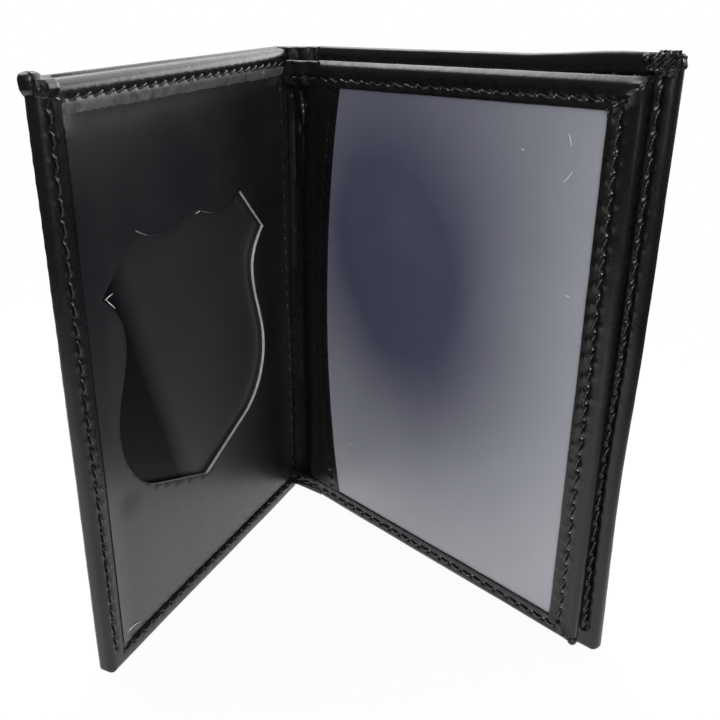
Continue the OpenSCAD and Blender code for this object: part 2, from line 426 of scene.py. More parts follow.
leather = leatherMaterial("blackLeather")
panelLeather = leatherMaterial("panelLeather", 0.85, dark=(0.0052, 0.0052, 0.0054),
                               pale=(0.0150, 0.0150, 0.0152), grainBump=0.10, roughLow=0.32, roughHigh=0.40)
coreBlack = leatherMaterial("panelCoreBlack", roughLow=0.6, roughHigh=0.8)
dividerSheet = leatherMaterial("dividerSheet", dark=(0.012, 0.013, 0.018), pale=(0.024, 0.026, 0.034))

# painted shade on the backing sheet: where it starts, the way it darkens, and how dark it gets
backingPaintedShade = dict(start=(-0.004, -0.0605, 0.0675), towards=(0.0, -0.944, -0.330), low=-0.0015, high=0.0040,
                    least=0.16, spec=0.8, deep=(0.0015, 0.0013, 0.0030, 1))


def backingMaterial():
    # the sheet is flat here; the dark wedge at its lower free side is painted shade, after the photo
    material = leatherMaterial("badgeBackingSheet", dark=(0.0180, 0.0180, 0.0185), pale=(0.0240, 0.0240, 0.0245),
                               grainBump=0.02, poreBump=0.0, roughLow=0.36, roughHigh=0.40)
    tree = material.node_tree
    shader = tree.nodes["Principled BSDF"]
    coords = addNode(tree, "TexCoord", {}).outputs["Object"]
    away = vectorNode(tree, "SUBTRACT", coords, backingPaintedShade["start"])
    along = vectorNode(tree, "DOT_PRODUCT", away, backingPaintedShade["towards"])
    level = rangeNode(tree, along, backingPaintedShade["low"], backingPaintedShade["high"], 1.0, backingPaintedShade["least"])
    paint = shader.inputs["Base Color"].links[0].from_socket
    feed(tree, shader, {
        "Specular IOR Level": mathNode(tree, "MULTIPLY", level, backingPaintedShade["spec"]),
        "Base Color": mixNode(tree, level, backingPaintedShade["deep"], paint),
    })
    return material


backingSheet = backingMaterial()

scuffLook = dict(dark=(0.065, 0.0655, 0.066), pale=(0.130, 0.131, 0.132), fleck=(0.34, 0.34, 0.33), size=420.0,
                 fine=1500.0, rough=0.42, spec=0.5)
threadLook = dict(dark=(0.0025, 0.0025, 0.003), pale=(0.010, 0.010, 0.011), twist=900.0)
edgeLook = dict(dark=(0.20, 0.202, 0.205), pale=(0.42, 0.425, 0.43), layers=900.0, rough=0.62, spec=0.35)


def scuffedMaterial():
    # rubbed leather whose raw edge shows pale flecks
    material, tree, coords, shader = newMaterial("scuffedStrip")
    rubbed = noiseNode(tree, coords, scuffLook["size"], 6.0, 0.7)
    fine = noiseNode(tree, coords, scuffLook["fine"], 4.0, 0.7)
    stops = [(0.35, scuffLook["dark"]), (0.62, scuffLook["pale"]), (0.70, scuffLook["fleck"])]
    feed(tree, shader, {
        "Base Color": rampNode(tree, rubbed, stops),
        "Normal": bumpNode(tree, fine, 0.3, 0.00005, bumpNode(tree, rubbed, 0.5, 0.0001)),
        "Roughness": scuffLook["rough"], "Specular IOR Level": scuffLook["spec"],
    })
    return material


def clothMaterial(name, dark, pale, rough):
    # fine weave, for linings and for fibres
    material, tree, coords, shader = newMaterial(name)
    weave = addNode(tree, "TexMagic", {"Vector": coords, "Scale": 2600.0}, turbulence_depth=1).outputs["Fac"]
    feed(tree, shader, {
        "Base Color": rampNode(tree, weave, [(0.3, dark), (0.7, pale)]),
        "Normal": bumpNode(tree, weave, 0.35, 0.00008), "Roughness": rough, "Specular IOR Level": 0.3,
    })
    return material


def threadMaterial(name, rough, spec):
    material, tree, coords, shader = newMaterial(name)
    twist = addNode(tree, "TexWave", {"Vector": coords, "Scale": threadLook["twist"], "Distortion": 1.5},
                    bands_direction="DIAGONAL").outputs["Fac"]
    feed(tree, shader, {
        "Base Color": rampNode(tree, twist, [(0.2, threadLook["dark"]), (0.9, threadLook["pale"])]),
        "Normal": bumpNode(tree, twist, 0.5, 0.00008), "Roughness": rough, "Specular IOR Level": spec,
    })
    return material


def cutEdgeMaterial():
    # raw cut edge of the panel: pale fibres in layers
    material, tree, coords, shader = newMaterial("cutEdge")
    layers = noiseNode(tree, coords, edgeLook["layers"], 4.0, 0.6, stretch=(5.0, 1.0, 1.0))
    feed(tree, shader, {
        "Base Color": rampNode(tree, layers, [(0.3, edgeLook["dark"]), (0.7, edgeLook["pale"])]),
        "Normal": bumpNode(tree, layers, 0.4, 0.0001),
        "Roughness": edgeLook["rough"], "Specular IOR Level": edgeLook["spec"],
    })
    return material


stripLeather = scuffedMaterial()
thread = threadMaterial("blackThread", 0.34, 0.72)
sunkThread = threadMaterial("sunkThread", 0.60, 0.12)
cutEdge = cutEdgeMaterial()
frayFibre = clothMaterial("frayFibre", (0.62, 0.62, 0.61), (0.80, 0.80, 0.79), 0.5)
liningCloth = clothMaterial("liningCloth", (0.010, 0.010, 0.012), (0.028, 0.028, 0.032), 0.7)
boardFibre = clothMaterial("boardFibre", (0.30, 0.29, 0.27), (0.46, 0.45, 0.42), 0.85)

# clear is the colour of a patch of painted shade; the patch is an ellipse: its middle, its two directions and its half
# lengths along them
vinylLook = dict(clear=(0.050, 0.052, 0.090), milky=(0.330, 0.336, 0.368), specks=(0.55, 0.55, 0.56),
                 patch=(0.0285, -0.0146, 0.068), across=(0.850, -0.378, 0.360), along=(-0.329, 0.146, 0.930),
                 patchSize=(0.0345, 0.047), patchFrom=0.42, patchTo=1.50, topShade=(0.070, 0.104, 0.62),
                 cloud=30.0, cloudAmount=0.16, dust=1100.0, dustSize=(0.04, 0.10), dustSpread=90.0,
                 dustRare=(0.60, 0.66), roughLow=0.36, roughHigh=0.44, fine=2600.0, scratch=160.0,
                 ior=1.55, coat=0.4, coatRough=0.34)


def vinylMaterial():
    # milky film: a soft haze, fine dust and a few hair scratches, with painted shade in one long patch and towards the
    # top
    look = vinylLook
    material, tree, coords, shader = newMaterial("hazyVinyl")
    # one long patch is painted darker, as painted shade where the left cover darkens the film, after the photo
    fromPatch = vectorNode(tree, "SUBTRACT", coords, look["patch"])
    parts = [vectorNode(tree, "DOT_PRODUCT", fromPatch, [part / size for part in look[way]])
             for way, size in zip(("across", "along"), look["patchSize"])]
    reach = vectorNode(tree, "LENGTH", addNode(tree, "CombineXYZ", dict(enumerate(parts))).outputs[0])
    away = rangeNode(tree, reach, look["patchFrom"], look["patchTo"], 0.0, 1.0)
    cloud = noiseNode(tree, coords, look["cloud"], 4.0, 0.6)
    shift = rangeNode(tree, cloud, 0.2, 0.8, -look["cloudAmount"] / 2, look["cloudAmount"] / 2)
    # the film is painted darker towards its top: painted shade
    height = addNode(tree, "SeparateXYZ", {0: coords}).outputs["Z"]
    low, high, least = look["topShade"]
    hazeAndPaintedShade = mathNode(tree, "MULTIPLY", mathNode(tree, "ADD", away, shift),
                    rangeNode(tree, height, low, high, 1.0, least))
    milky = rampNode(tree, hazeAndPaintedShade, [(0.0, look["clear"]), (1.0, look["milky"])])
    speck = rangeNode(tree, cellNode(tree, coords, look["dust"]), *look["dustSize"], 1.0, 0.0)
    rare = rangeNode(tree, noiseNode(tree, coords, look["dustSpread"], 2.0, 0.6), *look["dustRare"], 0.0, 1.0)
    dusty = mathNode(tree, "MULTIPLY", speck, rare)
    fine = noiseNode(tree, coords, look["fine"], 2.0, 0.7)
    scratch = noiseNode(tree, coords, look["scratch"], 3.0, 0.7, stretch=(9.0, 9.0, 0.8))
    feed(tree, shader, {
        "Base Color": mixNode(tree, dusty, milky, (*look["specks"], 1)),
        "Roughness": rangeNode(tree, fine, 0.35, 0.7, look["roughLow"], look["roughHigh"]),
        "Normal": bumpNode(tree, fine, 0.10, 0.00004, bumpNode(tree, scratch, 0.05, 0.00008)),
        "IOR": look["ior"], "Coat Weight": look["coat"], "Coat Roughness": look["coatRough"],
    })
    return material


vinyl = vinylMaterial()
cadNodes["leaf_divider"].active_material = dividerSheet
print("materials ready")


def settle(piece, side, body, replaced=(), slot="black_leather", material=leather, smooth=38):
    # out of the flat frame, onto its body
    place = places[side]
    if body == "left_cover":
        squeeze(piece)
    if body == "right_cover":
        flare(piece)
        sag(piece)
    piece.scale = place["scale"]
    piece.rotation_euler = (0, 0, place["turn"])
    piece.location = (place["x"], 0, 0)
    applyPlace(piece)
    turnOut(piece)
    bpy.ops.object.shade_smooth_by_angle(angle=math.radians(smooth))
    piece.data.materials.clear()
    piece.data.materials.append(material)
    if body:
        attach(piece, body)
    if replaced:
        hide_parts(*replaced)
    return piece


# sewing

sewing = dict(pitch=3.3, length=2.6, radius=0.22, rise=0.10, sink=0.34, taper=0.6, tilt=10.0, hole=0.42,
              holeSize=0.70, pillow=0.14, pillowSize=0.95, pillowOff=0.80, channel=0.16, channelSize=1.0)
randomizer = random.Random(7)


def makeStitch():
    # one stitch along x, standing out along z, with its ends going down into the holes
    freeAll()
    bpy.ops.mesh.primitive_cylinder_add(vertices=8, radius=sewing["radius"], depth=sewing["length"],
                                        rotation=(0, math.pi / 2, 0))
    stitch = nameIt(bpy.context.object, "stitchPattern")
    applyPlace(stitch)
    half = sewing["length"] / 2
    cutAt(stitch, 0, [half * part for part in (-0.72, -0.36, 0.36, 0.72)])
    pick(stitch, "VERT", lambda co, v: abs(co.x) < half * 0.5)
    bpy.ops.transform.translate(value=(0, 0, sewing["rise"]))
    doneEditing()
    for sign in (-1, 1):
        pick(stitch, "VERT", lambda co, v: co.x * sign > half * 0.95)
        bpy.ops.transform.translate(value=(0, 0, -sewing["sink"]))
        bpy.ops.transform.resize(value=(1, sewing["taper"], sewing["taper"]))
        doneEditing()
    stitch.hide_render = stitch.hide_viewport = True
    return stitch


stitchPattern = makeStitch()


def rowPoints(start, end, bow=None, pitch=sewing["pitch"]):
    # the row's holes; bow moves a point sideways
    count = max(2, round((end - start).length / pitch))
    points = [start.lerp(end, i / count) for i in range(count + 1)]
    return [bow(point) for point in points] if bow else points


def sew(name, points, out, tilt=1.0, side="left", body="left_cover", bendToo=True, thin=1.0, yarn=thread):
    out = Vector(out).normalized()
    copies = []
    for a, b in zip(points[:-1], points[1:]):
        along = (b - a).normalized()
        across = out.cross(along).normalized()
        angle = math.radians(sewing["tilt"] * tilt + randomizer.uniform(-4, 4))
        along = along * math.cos(angle) + across * math.sin(angle)
        across = out.cross(along).normalized()
        copy = stitchPattern.copy()
        copy.data = stitchPattern.data.copy()
        copy.hide_render = copy.hide_viewport = False
        middle = (a + b) / 2 + across * randomizer.uniform(-0.05, 0.05)
        matrix = Matrix((along, across, out)).transposed().to_4x4()
        stretch = ((b - a).length / sewing["pitch"]) * randomizer.uniform(0.94, 1.03)
        copy.matrix_world = Matrix.Translation(middle) @ matrix @ Matrix.Diagonal((stretch * thin, thin, thin, 1))
        scene.collection.objects.link(copy)
        copies.append(copy)
    freeAll()
    for copy in copies:
        copy.select_set(True)
    bpy.context.view_layer.objects.active = copies[0]
    bpy.ops.object.join()
    row = nameIt(bpy.context.object, name)
    applyPlace(row)
    if bendToo:
        flex(row, ripple=0)
    return settle(row, side, body, material=yarn)


def seamMarks(piece, points, out, depth=1.0, puff=1.0, sides=(-1, 1)):
    # a shallow channel, a dent at each hole and small pillows between the holes
    out = Vector(out).normalized()
    channel = []
    for a, b in zip(points[:-1], points[1:]):
        channel += line(a, b, 0.4)
    press(piece, channel, -out * sewing["channel"] * depth, sewing["channelSize"], out)
    press(piece, points, -out * sewing["hole"] * depth, sewing["holeSize"], out)
    for sign in sides:
        for part in (0, 1):
            pillows = []
            for a, b in list(zip(points[:-1], points[1:]))[part::2]:
                across = out.cross((b - a).normalized())
                spot = (a + b) / 2 + across * sewing["pillowOff"] * sign * randomizer.uniform(0.85, 1.2)
                pillows.append(spot + (b - a) * randomizer.uniform(-0.12, 0.12))
            press(piece, pillows, out * sewing["pillow"] * puff * randomizer.uniform(0.7, 1.25),
                  sewing["pillowSize"], out)


thinEnd = 0.25      # a cord's radius at its ends, as a part of the whole


def welt(name, points, radius, material, side, body):
    # a thin rounded cord of leather, thread or fibre along a line
    data = bpy.data.curves.new(name, "CURVE")
    data.dimensions = "3D"
    data.bevel_depth = radius
    data.bevel_resolution = 2
    data.resolution_u = 4
    spline = data.splines.new("NURBS")
    spline.points.add(len(points) - 1)
    for i, point in enumerate(points):
        spline.points[i].co = (*point, 1)
        spline.points[i].radius = thinEnd + (1 - thinEnd) * math.sin(math.pi * (i / (len(points) - 1))) ** 0.6
    spline.use_endpoint_u = True
    spline.order_u = min(4, len(points))
    data.use_fill_caps = True
    cord = bpy.data.objects.new(name, data)
    scene.collection.objects.link(cord)
    onlyPick(cord)
    bpy.ops.object.convert(target="MESH")
    cord = nameIt(bpy.context.object, name)
    flex(cord, ripple=0)
    return settle(cord, side, body, material=material)


# covers

coverShape = dict(width=79.5, height=108.0, half=0.55, corner=0.9, backRim=0.40, roll=1.75, hem=4.2,
                  bottomHem=3.4, innerStart=1.5, liningFace=1.2, softEdge=0.20, creaseEdge=0.54, cell=2.0,
                  footCuts=(1.2, 2.3), topCuts=(1.1, 2.2, 3.3), sideCuts=(1.4, 2.1, 2.8, 3.5))
covers = {
    "left": dict(depth=3.45, topHem=None, turn=6.0, body="left_cover", rounds=(1.9, 1.6), foot=1.3,
                 sideRow=(77.5, 78.1), bottomRow=2.75, topRow=None),
    "right": dict(depth=2.35, topHem=4.2, turn=4.2, body="right_cover", rounds=(1.35, 1.2), foot=1.1,
                  sideRow=(76.8, 77.2), bottomRow=2.6, topRow=104.5),
}
coverRows = dict(low=5.0, high=104.2, bottomFrom=75.6, topFrom=75.4, to=3.0, bowHeight=104, bowPower=1.2)


def makeCover(side):
    size = covers[side]
    half, width, height, depth = coverShape["half"], coverShape["width"], coverShape["height"], size["depth"]
    start, hemLine, bottom = coverShape["innerStart"], width - coverShape["hem"], coverShape["bottomHem"]
    topLine, lining, cell = height - size["turn"], coverShape["liningFace"], coverShape["cell"]
    cover = addBlock(side + "CoverLeather", (-half, -width, 0), (half, 0, height))
    cutAt(cover, 1, [-start, -hemLine])
    cutAt(cover, 2, [bottom, topLine])

    def turned(co):
        return -co.y > start and (-co.y > hemLine or co.z < bottom or co.z > topLine)

    pushOut(cover, lambda co, f: f.normal.x > 0.9 and turned(co), (lining - half, 0, 0))
    pushOut(cover, lambda co, f: f.normal.x > 0.9 and turned(co) and
            (-co.y > hemLine or co.z < bottom or (size["topHem"] and co.z > topLine)), (depth - lining, 0, 0))
    mergeFlat(cover)
    rim, (frontRound, backRound) = size["foot"], size["rounds"]

    def atTop(co):
        return near(co.z, height)

    def atFace(co, *depths):
        return any(near(co.x, x) for x in depths)

    def atSide(co):
        return near(co.y, -width)

    roundEdges(cover, [
        (coverShape["creaseEdge"], lambda co, along: near(co.y, 0) and runs(along, "z")),
        (coverShape["backRim"], lambda co, along: atTop(co) and runs(along, "y") and atFace(co, -half, lining)),
        (coverShape["roll"] if size["topHem"] else rim,
         lambda co, along: atTop(co) and runs(along, "y") and atFace(co, depth)),
        (coverShape["corner"], lambda co, along: atSide(co) and runs(along, "x") and (atTop(co) or co.z < touch)),
        (frontRound, lambda co, along: atSide(co) and runs(along, "z") and atFace(co, depth)),
        (backRound, lambda co, along: atSide(co) and runs(along, "z") and atFace(co, -half)),
        (rim, lambda co, along: co.z < touch and runs(along, "y") and atFace(co, -half, depth) and
         -co.y > start + touch),
        (coverShape["softEdge"], lambda co, along: atFace(co, depth) and crosses(along, "x")),
    ], segments=7)
    cutEvery(cover, 2, bottom, topLine, cell)
    cutEvery(cover, 1, -hemLine, -start, cell * 1.5)
    cutAt(cover, 2, [*coverShape["footCuts"], *(height - z for z in coverShape["topCuts"])])
    cutAt(cover, 1, [-width + u for u in coverShape["sideCuts"]])
    splitFaces(cover)
    refine(cover, lambda co, f: f.normal.x > 0.5 and co.x > lining + 0.1, 2)
    return cover


leftCover = makeCover("left")
rightCover = makeCover("right")
print("covers shaped:", len(leftCover.data.polygons), len(rightCover.data.polygons))


def sideLine(low, high):
    # a side seam drifts towards the edge on its way up
    def bow(point):
        part = max(0.0, point.z / coverRows["bowHeight"]) ** coverRows["bowPower"]
        return Vector((point.x, -(low + (high - low) * part), point.z))
    return bow


rows = {}
for side, size in covers.items():
    low, high = size["sideRow"]
    for ending, depth in (("", size["depth"]), ("Out", -coverShape["half"])):
        rows[side + "Side" + ending] = rowPoints(flat(depth, low, coverRows["low"]),
                                                 flat(depth, low, coverRows["high"]), sideLine(low, high))
        for part, start, z in (("Bottom", coverRows["bottomFrom"], size["bottomRow"]),
                               ("Top", coverRows["topFrom"], size["topRow"])):
            if z:
                rows[side + part + ending] = rowPoints(flat(depth, start, z), flat(depth, coverRows["to"], z))

for side, cover in (("left", leftCover), ("right", rightCover)):
    for rowName in [name for name in rows if name.startswith(side)]:
        seamMarks(cover, rows[rowName], outward if rowName.endswith("Out") else inward, 1.0, 0.7)
    if side == "left":      # sinks under the folded corner
        press(cover, line(flat(3.4, 79.0, 107.9), flat(3.4, 75.4, 107.9)), (-0.7, 0, -0.9), 2.4)
    flex(cover, pucker=0.5)
    settle(cover, side, covers[side]["body"], [side + "_cover_skin"])
print("cover seams pressed")

# board and lining between the leather and the pockets
sheetShape = dict(width=78.5, start=1.7, low=0.9, high=107.0, cell=4.0)
for side in covers:
    for part, depths, material, slotName in (("Board", (0.58, 0.96), boardFibre, "board"),
                                             ("Lining", (0.96, 1.2), liningCloth, "lining")):
        sheet = addSheet(side + part, (depths[0], -sheetShape["width"], sheetShape["low"]),
                         (depths[1], -sheetShape["start"], sheetShape["high"]), sheetShape["cell"])
        flex(sheet, ripple=0)
        settle(sheet, side, covers[side]["body"], [side + "_" + part.lower()], slotName, material)


foldShape = dict(merge=0.02, cell=0.42, pucker=2.5)


def makeFold(name, low, high, pushes, side, body, soft, wrinkle):
    # folded leather at a corner, where the turned edges are tucked into each other;
    # a push is (points, move, size)
    fold = addBlock(name, low, high)
    editingAll(fold, "EDGE")
    bpy.ops.mesh.bevel(offset=soft, segments=3, affect="EDGES")
    bpy.ops.mesh.select_all(action="SELECT")
    bpy.ops.mesh.remove_doubles(threshold=foldShape["merge"])
    doneEditing()
    for axis in range(3):
        cutEvery(fold, axis, low[axis], high[axis], foldShape["cell"])
    for points, move, size in pushes:
        press(fold, points, move, size)
    flex(fold, ripple=wrinkle, pucker=foldShape["pucker"])
    applied(fold, "SUBSURF", levels=1, render_levels=1)
    return settle(fold, side, body, smooth=60)


makeFold("leftCornerEar", (-0.80, -80.05, 105.2), (2.5, -77.0, 108.85), [
    ([flat(0.4, 79.9, 107.6)], (-0.10, -0.20, 0.15), 1.5),
    (line(flat(-0.7, 80.0, 105.4), flat(2.4, 80.0, 105.4)), (0, 0.35, 0), 0.9),
], "left", "left_cover", 1.05, 0.8)
makeFold("leftCornerTuck", (0.95, -79.75, 104.7), (3.95, -74.7, 107.95), [
    (line(flat(3.2, 79.0, 107.6), flat(3.9, 78.8, 105.2)), (-0.25, 0, -0.15), 0.7),
    (line(flat(3.0, 75.5, 107.8), flat(3.95, 75.9, 105.4)), (-0.28, 0, -0.16), 0.6),
], "left", "left_cover", 1.45, 0.5)
welt("leftCornerLip", [flat(1.2, 79.6, 108.9), flat(1.9, 79.5, 108.85), flat(2.6, 79.5, 108.0),
                       flat(3.3, 79.6, 106.9), flat(3.75, 79.1, 106.0), flat(3.75, 78.2, 104.9)],
     0.20, leather, "left", "left_cover")
# a pale cord by the folded corner: painted highlight, standing in for the glints there
welt("leftCornerGlintCord", [flat(3.75, 76.7, 105.1), flat(3.98, 76.35, 104.9), flat(3.75, 75.9, 104.75)],
     0.20, cutEdge, "left", "left_cover")

# pleated flap over the right cover's top corner
flapShape = dict(depths=(1.5, 2.62), low=104.7, high=108.3, start=79.3, end=73.9, cell=0.24, pleats=14,
                 pitch=0.44, firstPleat=72.4, lean=3.9, pleatLow=104.9, pleat=0.20, pleatSize=0.32)
flapFace = flapShape["depths"][1]
flap = addSheet("rightCornerPleats", (flapShape["depths"][0], -flapShape["start"], flapShape["low"]),
                (flapFace, -flapShape["end"], flapShape["high"]), flapShape["cell"])
for cut, normal in (((0, -74.4, 106.0), (0, 1.0, 0.75)), ((0, -76.4, 105.2), (0, 0.30, -1.0))):
    editingAll(flap)
    bpy.ops.mesh.bisect(plane_co=cut, plane_no=normal, use_fill=True, clear_outer=True)
    doneEditing()
for i in range(flapShape["pleats"]):
    start = flapShape["firstPleat"] + i * flapShape["pitch"]
    push = flapShape["pleat"] if i % 2 else -flapShape["pleat"]
    press(flap, line(flat(flapFace, start, flapShape["pleatLow"]),
                     flat(flapFace, start + flapShape["lean"], flapShape["high"]), 0.2),
          (push * randomizer.uniform(0.6, 1.3), 0, 0), flapShape["pleatSize"], inward)
press(flap, line(flat(flapFace, 75.6, 105.25), flat(flapFace, 79.6, 105.5), 0.3), (0.32, 0, 0.05), 0.55, inward)
press(flap, line(flat(flapFace, 74.5, 108.2), flat(flapFace, 79.2, 108.2), 0.4), (-0.60, 0, 0.05), 0.6, inward)
flex(flap, ripple=0.6, pucker=0.4)
settle(flap, "right", "right_cover", smooth=60)
makeFold("rightCornerEar", (-0.80, -79.65, 104.9), (2.35, -76.6, 107.95), [
    (line(flat(-0.8, 79.5, 105.5), flat(2.3, 79.5, 105.3)), (0, 0.35, 0), 0.6),
    (line(flat(-0.8, 79.5, 106.9), flat(2.3, 79.4, 107.4)), (0, 0.18, -0.05), 0.4),
    (line(flat(-0.2, 79.4, 107.9), flat(0.9, 76.4, 107.9)), (0, 0, -0.18), 0.45),
    (line(flat(1.0, 79.4, 107.9), flat(2.1, 76.4, 107.9)), (0, 0, -0.16), 0.45),
], "right", "right_cover", 0.95, 0.8)
makeFold("rightCornerDimple", (1.5, -75.15, 106.45), (3.0, -73.75, 107.85), [], "right", "right_cover", 0.66, 0.2)


# badge pocket of the left cover

pocket = dict(start=1.6, end=75.38, low=3.3, panelTop=107.7, layerDrop=0.9, backing=(1.5, 1.85),
              core=(1.85, 2.45), face=(2.45, 3.05), cell=2.2, faceCell=1.6, cutEdge=0.09)
badge = dict(middle=42.0, low=24.6, width=56.0, height=56.9, waist=0.818, bulge=0.964, bottomRound=0.55,
             bulgeZ=0.367, waistZ=0.684, pointZ=0.833, peak=0.643, valley=0.33, valleyZ=0.954, crownZ=0.991,
             footTurn=69.2, steps=10, cutFrom=0.6, cutDeep=4)


def badgeOutline(grow):
    # right half of the shield from its lower point to the middle of its top, then the left half
    half, high, steps = badge["width"] / 2, badge["height"], badge["steps"]
    bulge, waist = half * badge["bulge"], half * badge["waist"]
    radius = half * badge["bottomRound"]
    side = [(0.0, 0.0)]
    for i in range(steps + 1):
        turn = math.radians(badge["footTurn"] * (1 - i / steps))
        side.append((bulge - radius * (1 - math.cos(turn)), high * badge["bulgeZ"] - radius * math.sin(turn)))
    for i in range(1, steps + 1):
        part = i / steps
        side.append((waist + (bulge - waist) * (1 + math.cos(math.pi * part)) / 2,
                     high * (badge["bulgeZ"] + (badge["waistZ"] - badge["bulgeZ"]) * part)))
    for i in range(1, steps // 2 + 1):
        part = 2 * i / steps
        side.append((half * (badge["waist"] + (1 - badge["waist"]) * part * part),
                     high * (badge["waistZ"] + (badge["pointZ"] - badge["waistZ"]) * part)))
    for i in range(steps // 2 + 1):
        part = 1 - 2 * i / steps
        side.append((half * (badge["valley"] + (badge["peak"] - badge["valley"]) * part),
                     high * (badge["valleyZ"] + (1 - badge["valleyZ"]) * part * part)))
    for i in range(1, steps // 2 + 1):
        part = 1 - 2 * i / steps
        drop = (badge["crownZ"] - badge["valleyZ"]) * (1 - math.cos(math.pi * part)) / 2
        side.append((half * badge["valley"] * part, high * (badge["crownZ"] - drop)))
    whole = side + [(-a, b) for a, b in reversed(side[1:-1])]
    middle = high * 0.5
    factor = 1 + grow / half
    return [(badge["middle"] + a * factor, badge["low"] + middle + (b - middle) * factor) for a, b in whole]


def cutOut(piece, grow):
    # the shield is drawn as one filled face, extruded to a cutter and taken out of the sheet
    outline = badgeOutline(grow)
    freeAll()
    bpy.ops.mesh.primitive_circle_add(vertices=len(outline), fill_type="NGON")
    cutter = nameIt(bpy.context.object, "badgeCutter")
    for vert, (u, z) in zip(cutter.data.vertices, outline):
        vert.co = (badge["cutFrom"], -u, z)
    editingAll(cutter)
    bpy.ops.mesh.extrude_region_move(TRANSFORM_OT_translate={"value": (badge["cutDeep"], 0, 0)})
    doneEditing()
    turnOut(cutter)
    cutAway(piece, cutter)


def inBadge(co, margin=1.0):
    return abs(-co.y - badge["middle"]) < badge["width"] / 2 + margin and \
        badge["low"] - margin < co.z < badge["low"] + badge["height"] + margin


def makeSheet(name, depths, cell=pocket["cell"]):
    return addSheet(name, (depths[0], -pocket["end"], pocket["low"]),
                    (depths[1], -pocket["start"], pocket["panelTop"] - pocket["layerDrop"]), cell)


backing = makeSheet("badgeBacking", pocket["backing"])
splitFaces(backing)
core = makeSheet("badgePanelCore", pocket["core"])
cutOut(core, 0.05)
panelFace = pocket["face"][1]
panel = makeSheet("badgePanelLeather", pocket["face"], pocket["faceCell"])
cutOut(panel, 0.0)
pick(panel, "EDGE", lambda co, e: near(co.x, panelFace) and inBadge(co) and
     len(e.link_faces) == 2 and e.calc_face_angle(0) > 1.0)
bpy.ops.mesh.bevel(offset=pocket["cutEdge"], segments=2, affect="EDGES")
doneEditing()

innerRow = rowPoints(flat(panelFace, 4.6, 101.0), flat(panelFace, 1.9, 5.4))
refine(panel, lambda co, f: f.normal.x > 0.9 and -co.y < 7.5, 2)
for start, end, step, push, size, falloff in (
    # the panel is padded: full at its side and above the shield, sunk towards its other sewn borders
    ((75.3, 3.4), (75.3, 101), 1.2, 0.55, 5.0, "SHARP"),
    ((75.3, 3.4), (2, 3.4), 1.2, -0.12, 2.5, "SHARP"),
    ((75.3, 101.5), (2, 101.5), 1.2, -0.15, 4.0, "SHARP"),
    ((66, 86), (14, 86), 2.0, 0.40, 17.0, "SMOOTH"),
    ((69.4, 34), (69.0, 78), 1.5, -0.34, 4.6, "SMOOTH"),
):
    press(panel, line(flat(panelFace, *start), flat(panelFace, *end), step), (push, 0, 0), size, inward, falloff)
seamMarks(panel, innerRow, inward, 0.6, 0.5)
for piece, nodeName, slotName, material in (
    (backing, "badge_backing", "lining", backingSheet),
    (core, "badge_panel_core", "board", coreBlack),
    (panel, "badge_panel", "black_leather", panelLeather),
):
    flex(piece, ripple=0.5 if piece is panel else 0.0)
    settle(piece, "left", "left_cover", [nodeName], slotName, material, smooth=30)
panel.data.materials.append(cutEdge)
for face in panel.data.polygons:
    co = face.center
    local = Vector((co.x / mm + creaseX, co.y / mm, co.z / mm))
    if abs(face.normal.x) < 0.5 and inBadge(local, 0.5):
        face.material_index = 1
print("badge panel cut:", len(panel.data.polygons))

strip = dict(depths=(1.27, 3.45), start=1.6, end=75.36, low=102.4, roll=1.90, edge=0.2, row=104.75,
             rowStart=73.6, rowEnd=3.2, pitch=2.9, rubbedTo=104.3)
stripFace = strip["depths"][1]
stripBlock = addBlock("badgePanelTopHem", (strip["depths"][0], -strip["end"], strip["low"]),
                      (stripFace, -strip["start"], pocket["panelTop"]))
roundEdges(stripBlock, [
    (strip["roll"], lambda co, along: near(co.z, pocket["panelTop"]) and runs(along, "y") and co.x > 3),
    (strip["edge"], lambda co, along: runs(along, "y")),
], segments=9)
cutEvery(stripBlock, 1, -strip["end"], -strip["start"], 0.8)
cutEvery(stripBlock, 2, strip["low"] + 0.2, pocket["panelTop"] - 1.9, 0.5)
splitFaces(stripBlock)
topRow = rowPoints(flat(stripFace, strip["rowStart"], strip["row"]), flat(stripFace, strip["rowEnd"], strip["row"]),
                   pitch=strip["pitch"])
press(stripBlock, line(flat(stripFace, 75, 102.5), flat(stripFace, 2, 102.5), 0.4), (-0.40, 0, 0), 1.6, inward,
      "SHARP")
seamMarks(stripBlock, topRow, inward, 0.42, 0.55, sides=(-1,))
seamMarks(stripBlock, topRow, inward, 0.0, 0.25, sides=(1,))
for push in (-0.26, -0.16, 0.10):      # ragged lower edge
    spots = [flat(3.3, randomizer.uniform(3, 75), 102.45 + randomizer.uniform(-0.05, 0.25)) for _ in range(26)]
    press(stripBlock, spots, (0, 0, push), 0.7)
flex(stripBlock, ripple=0.6, pucker=0.3)
settle(stripBlock, "left", "left_cover", ["badge_panel_binding"])
stripBlock.data.materials.append(stripLeather)
for face in stripBlock.data.polygons:
    if face.center.z < strip["rubbedTo"] * mm and face.normal.x > 0.3:
        face.material_index = 1

for ending, out in (("", inward), ("Out", outward)):
    for part in ("Side", "Bottom"):
        sew("left" + part + "Thread" + ending, rows["left" + part + ending], out)
sew("leftInnerThread", innerRow, inward, thin=0.6)
sew("leftTopThread", topRow, inward, tilt=2.2)


def smallPieces(name, lines, lift, step, radius, side, body):
    # fibres or scratches; every other point lies a step higher
    for i, spots in enumerate(lines):
        points = [flat(lift + step * (j % 2), u, z) for j, (u, z) in enumerate(spots)]
        welt("%s%d" % (name, i + 1), points, radius, frayFibre, side, body)


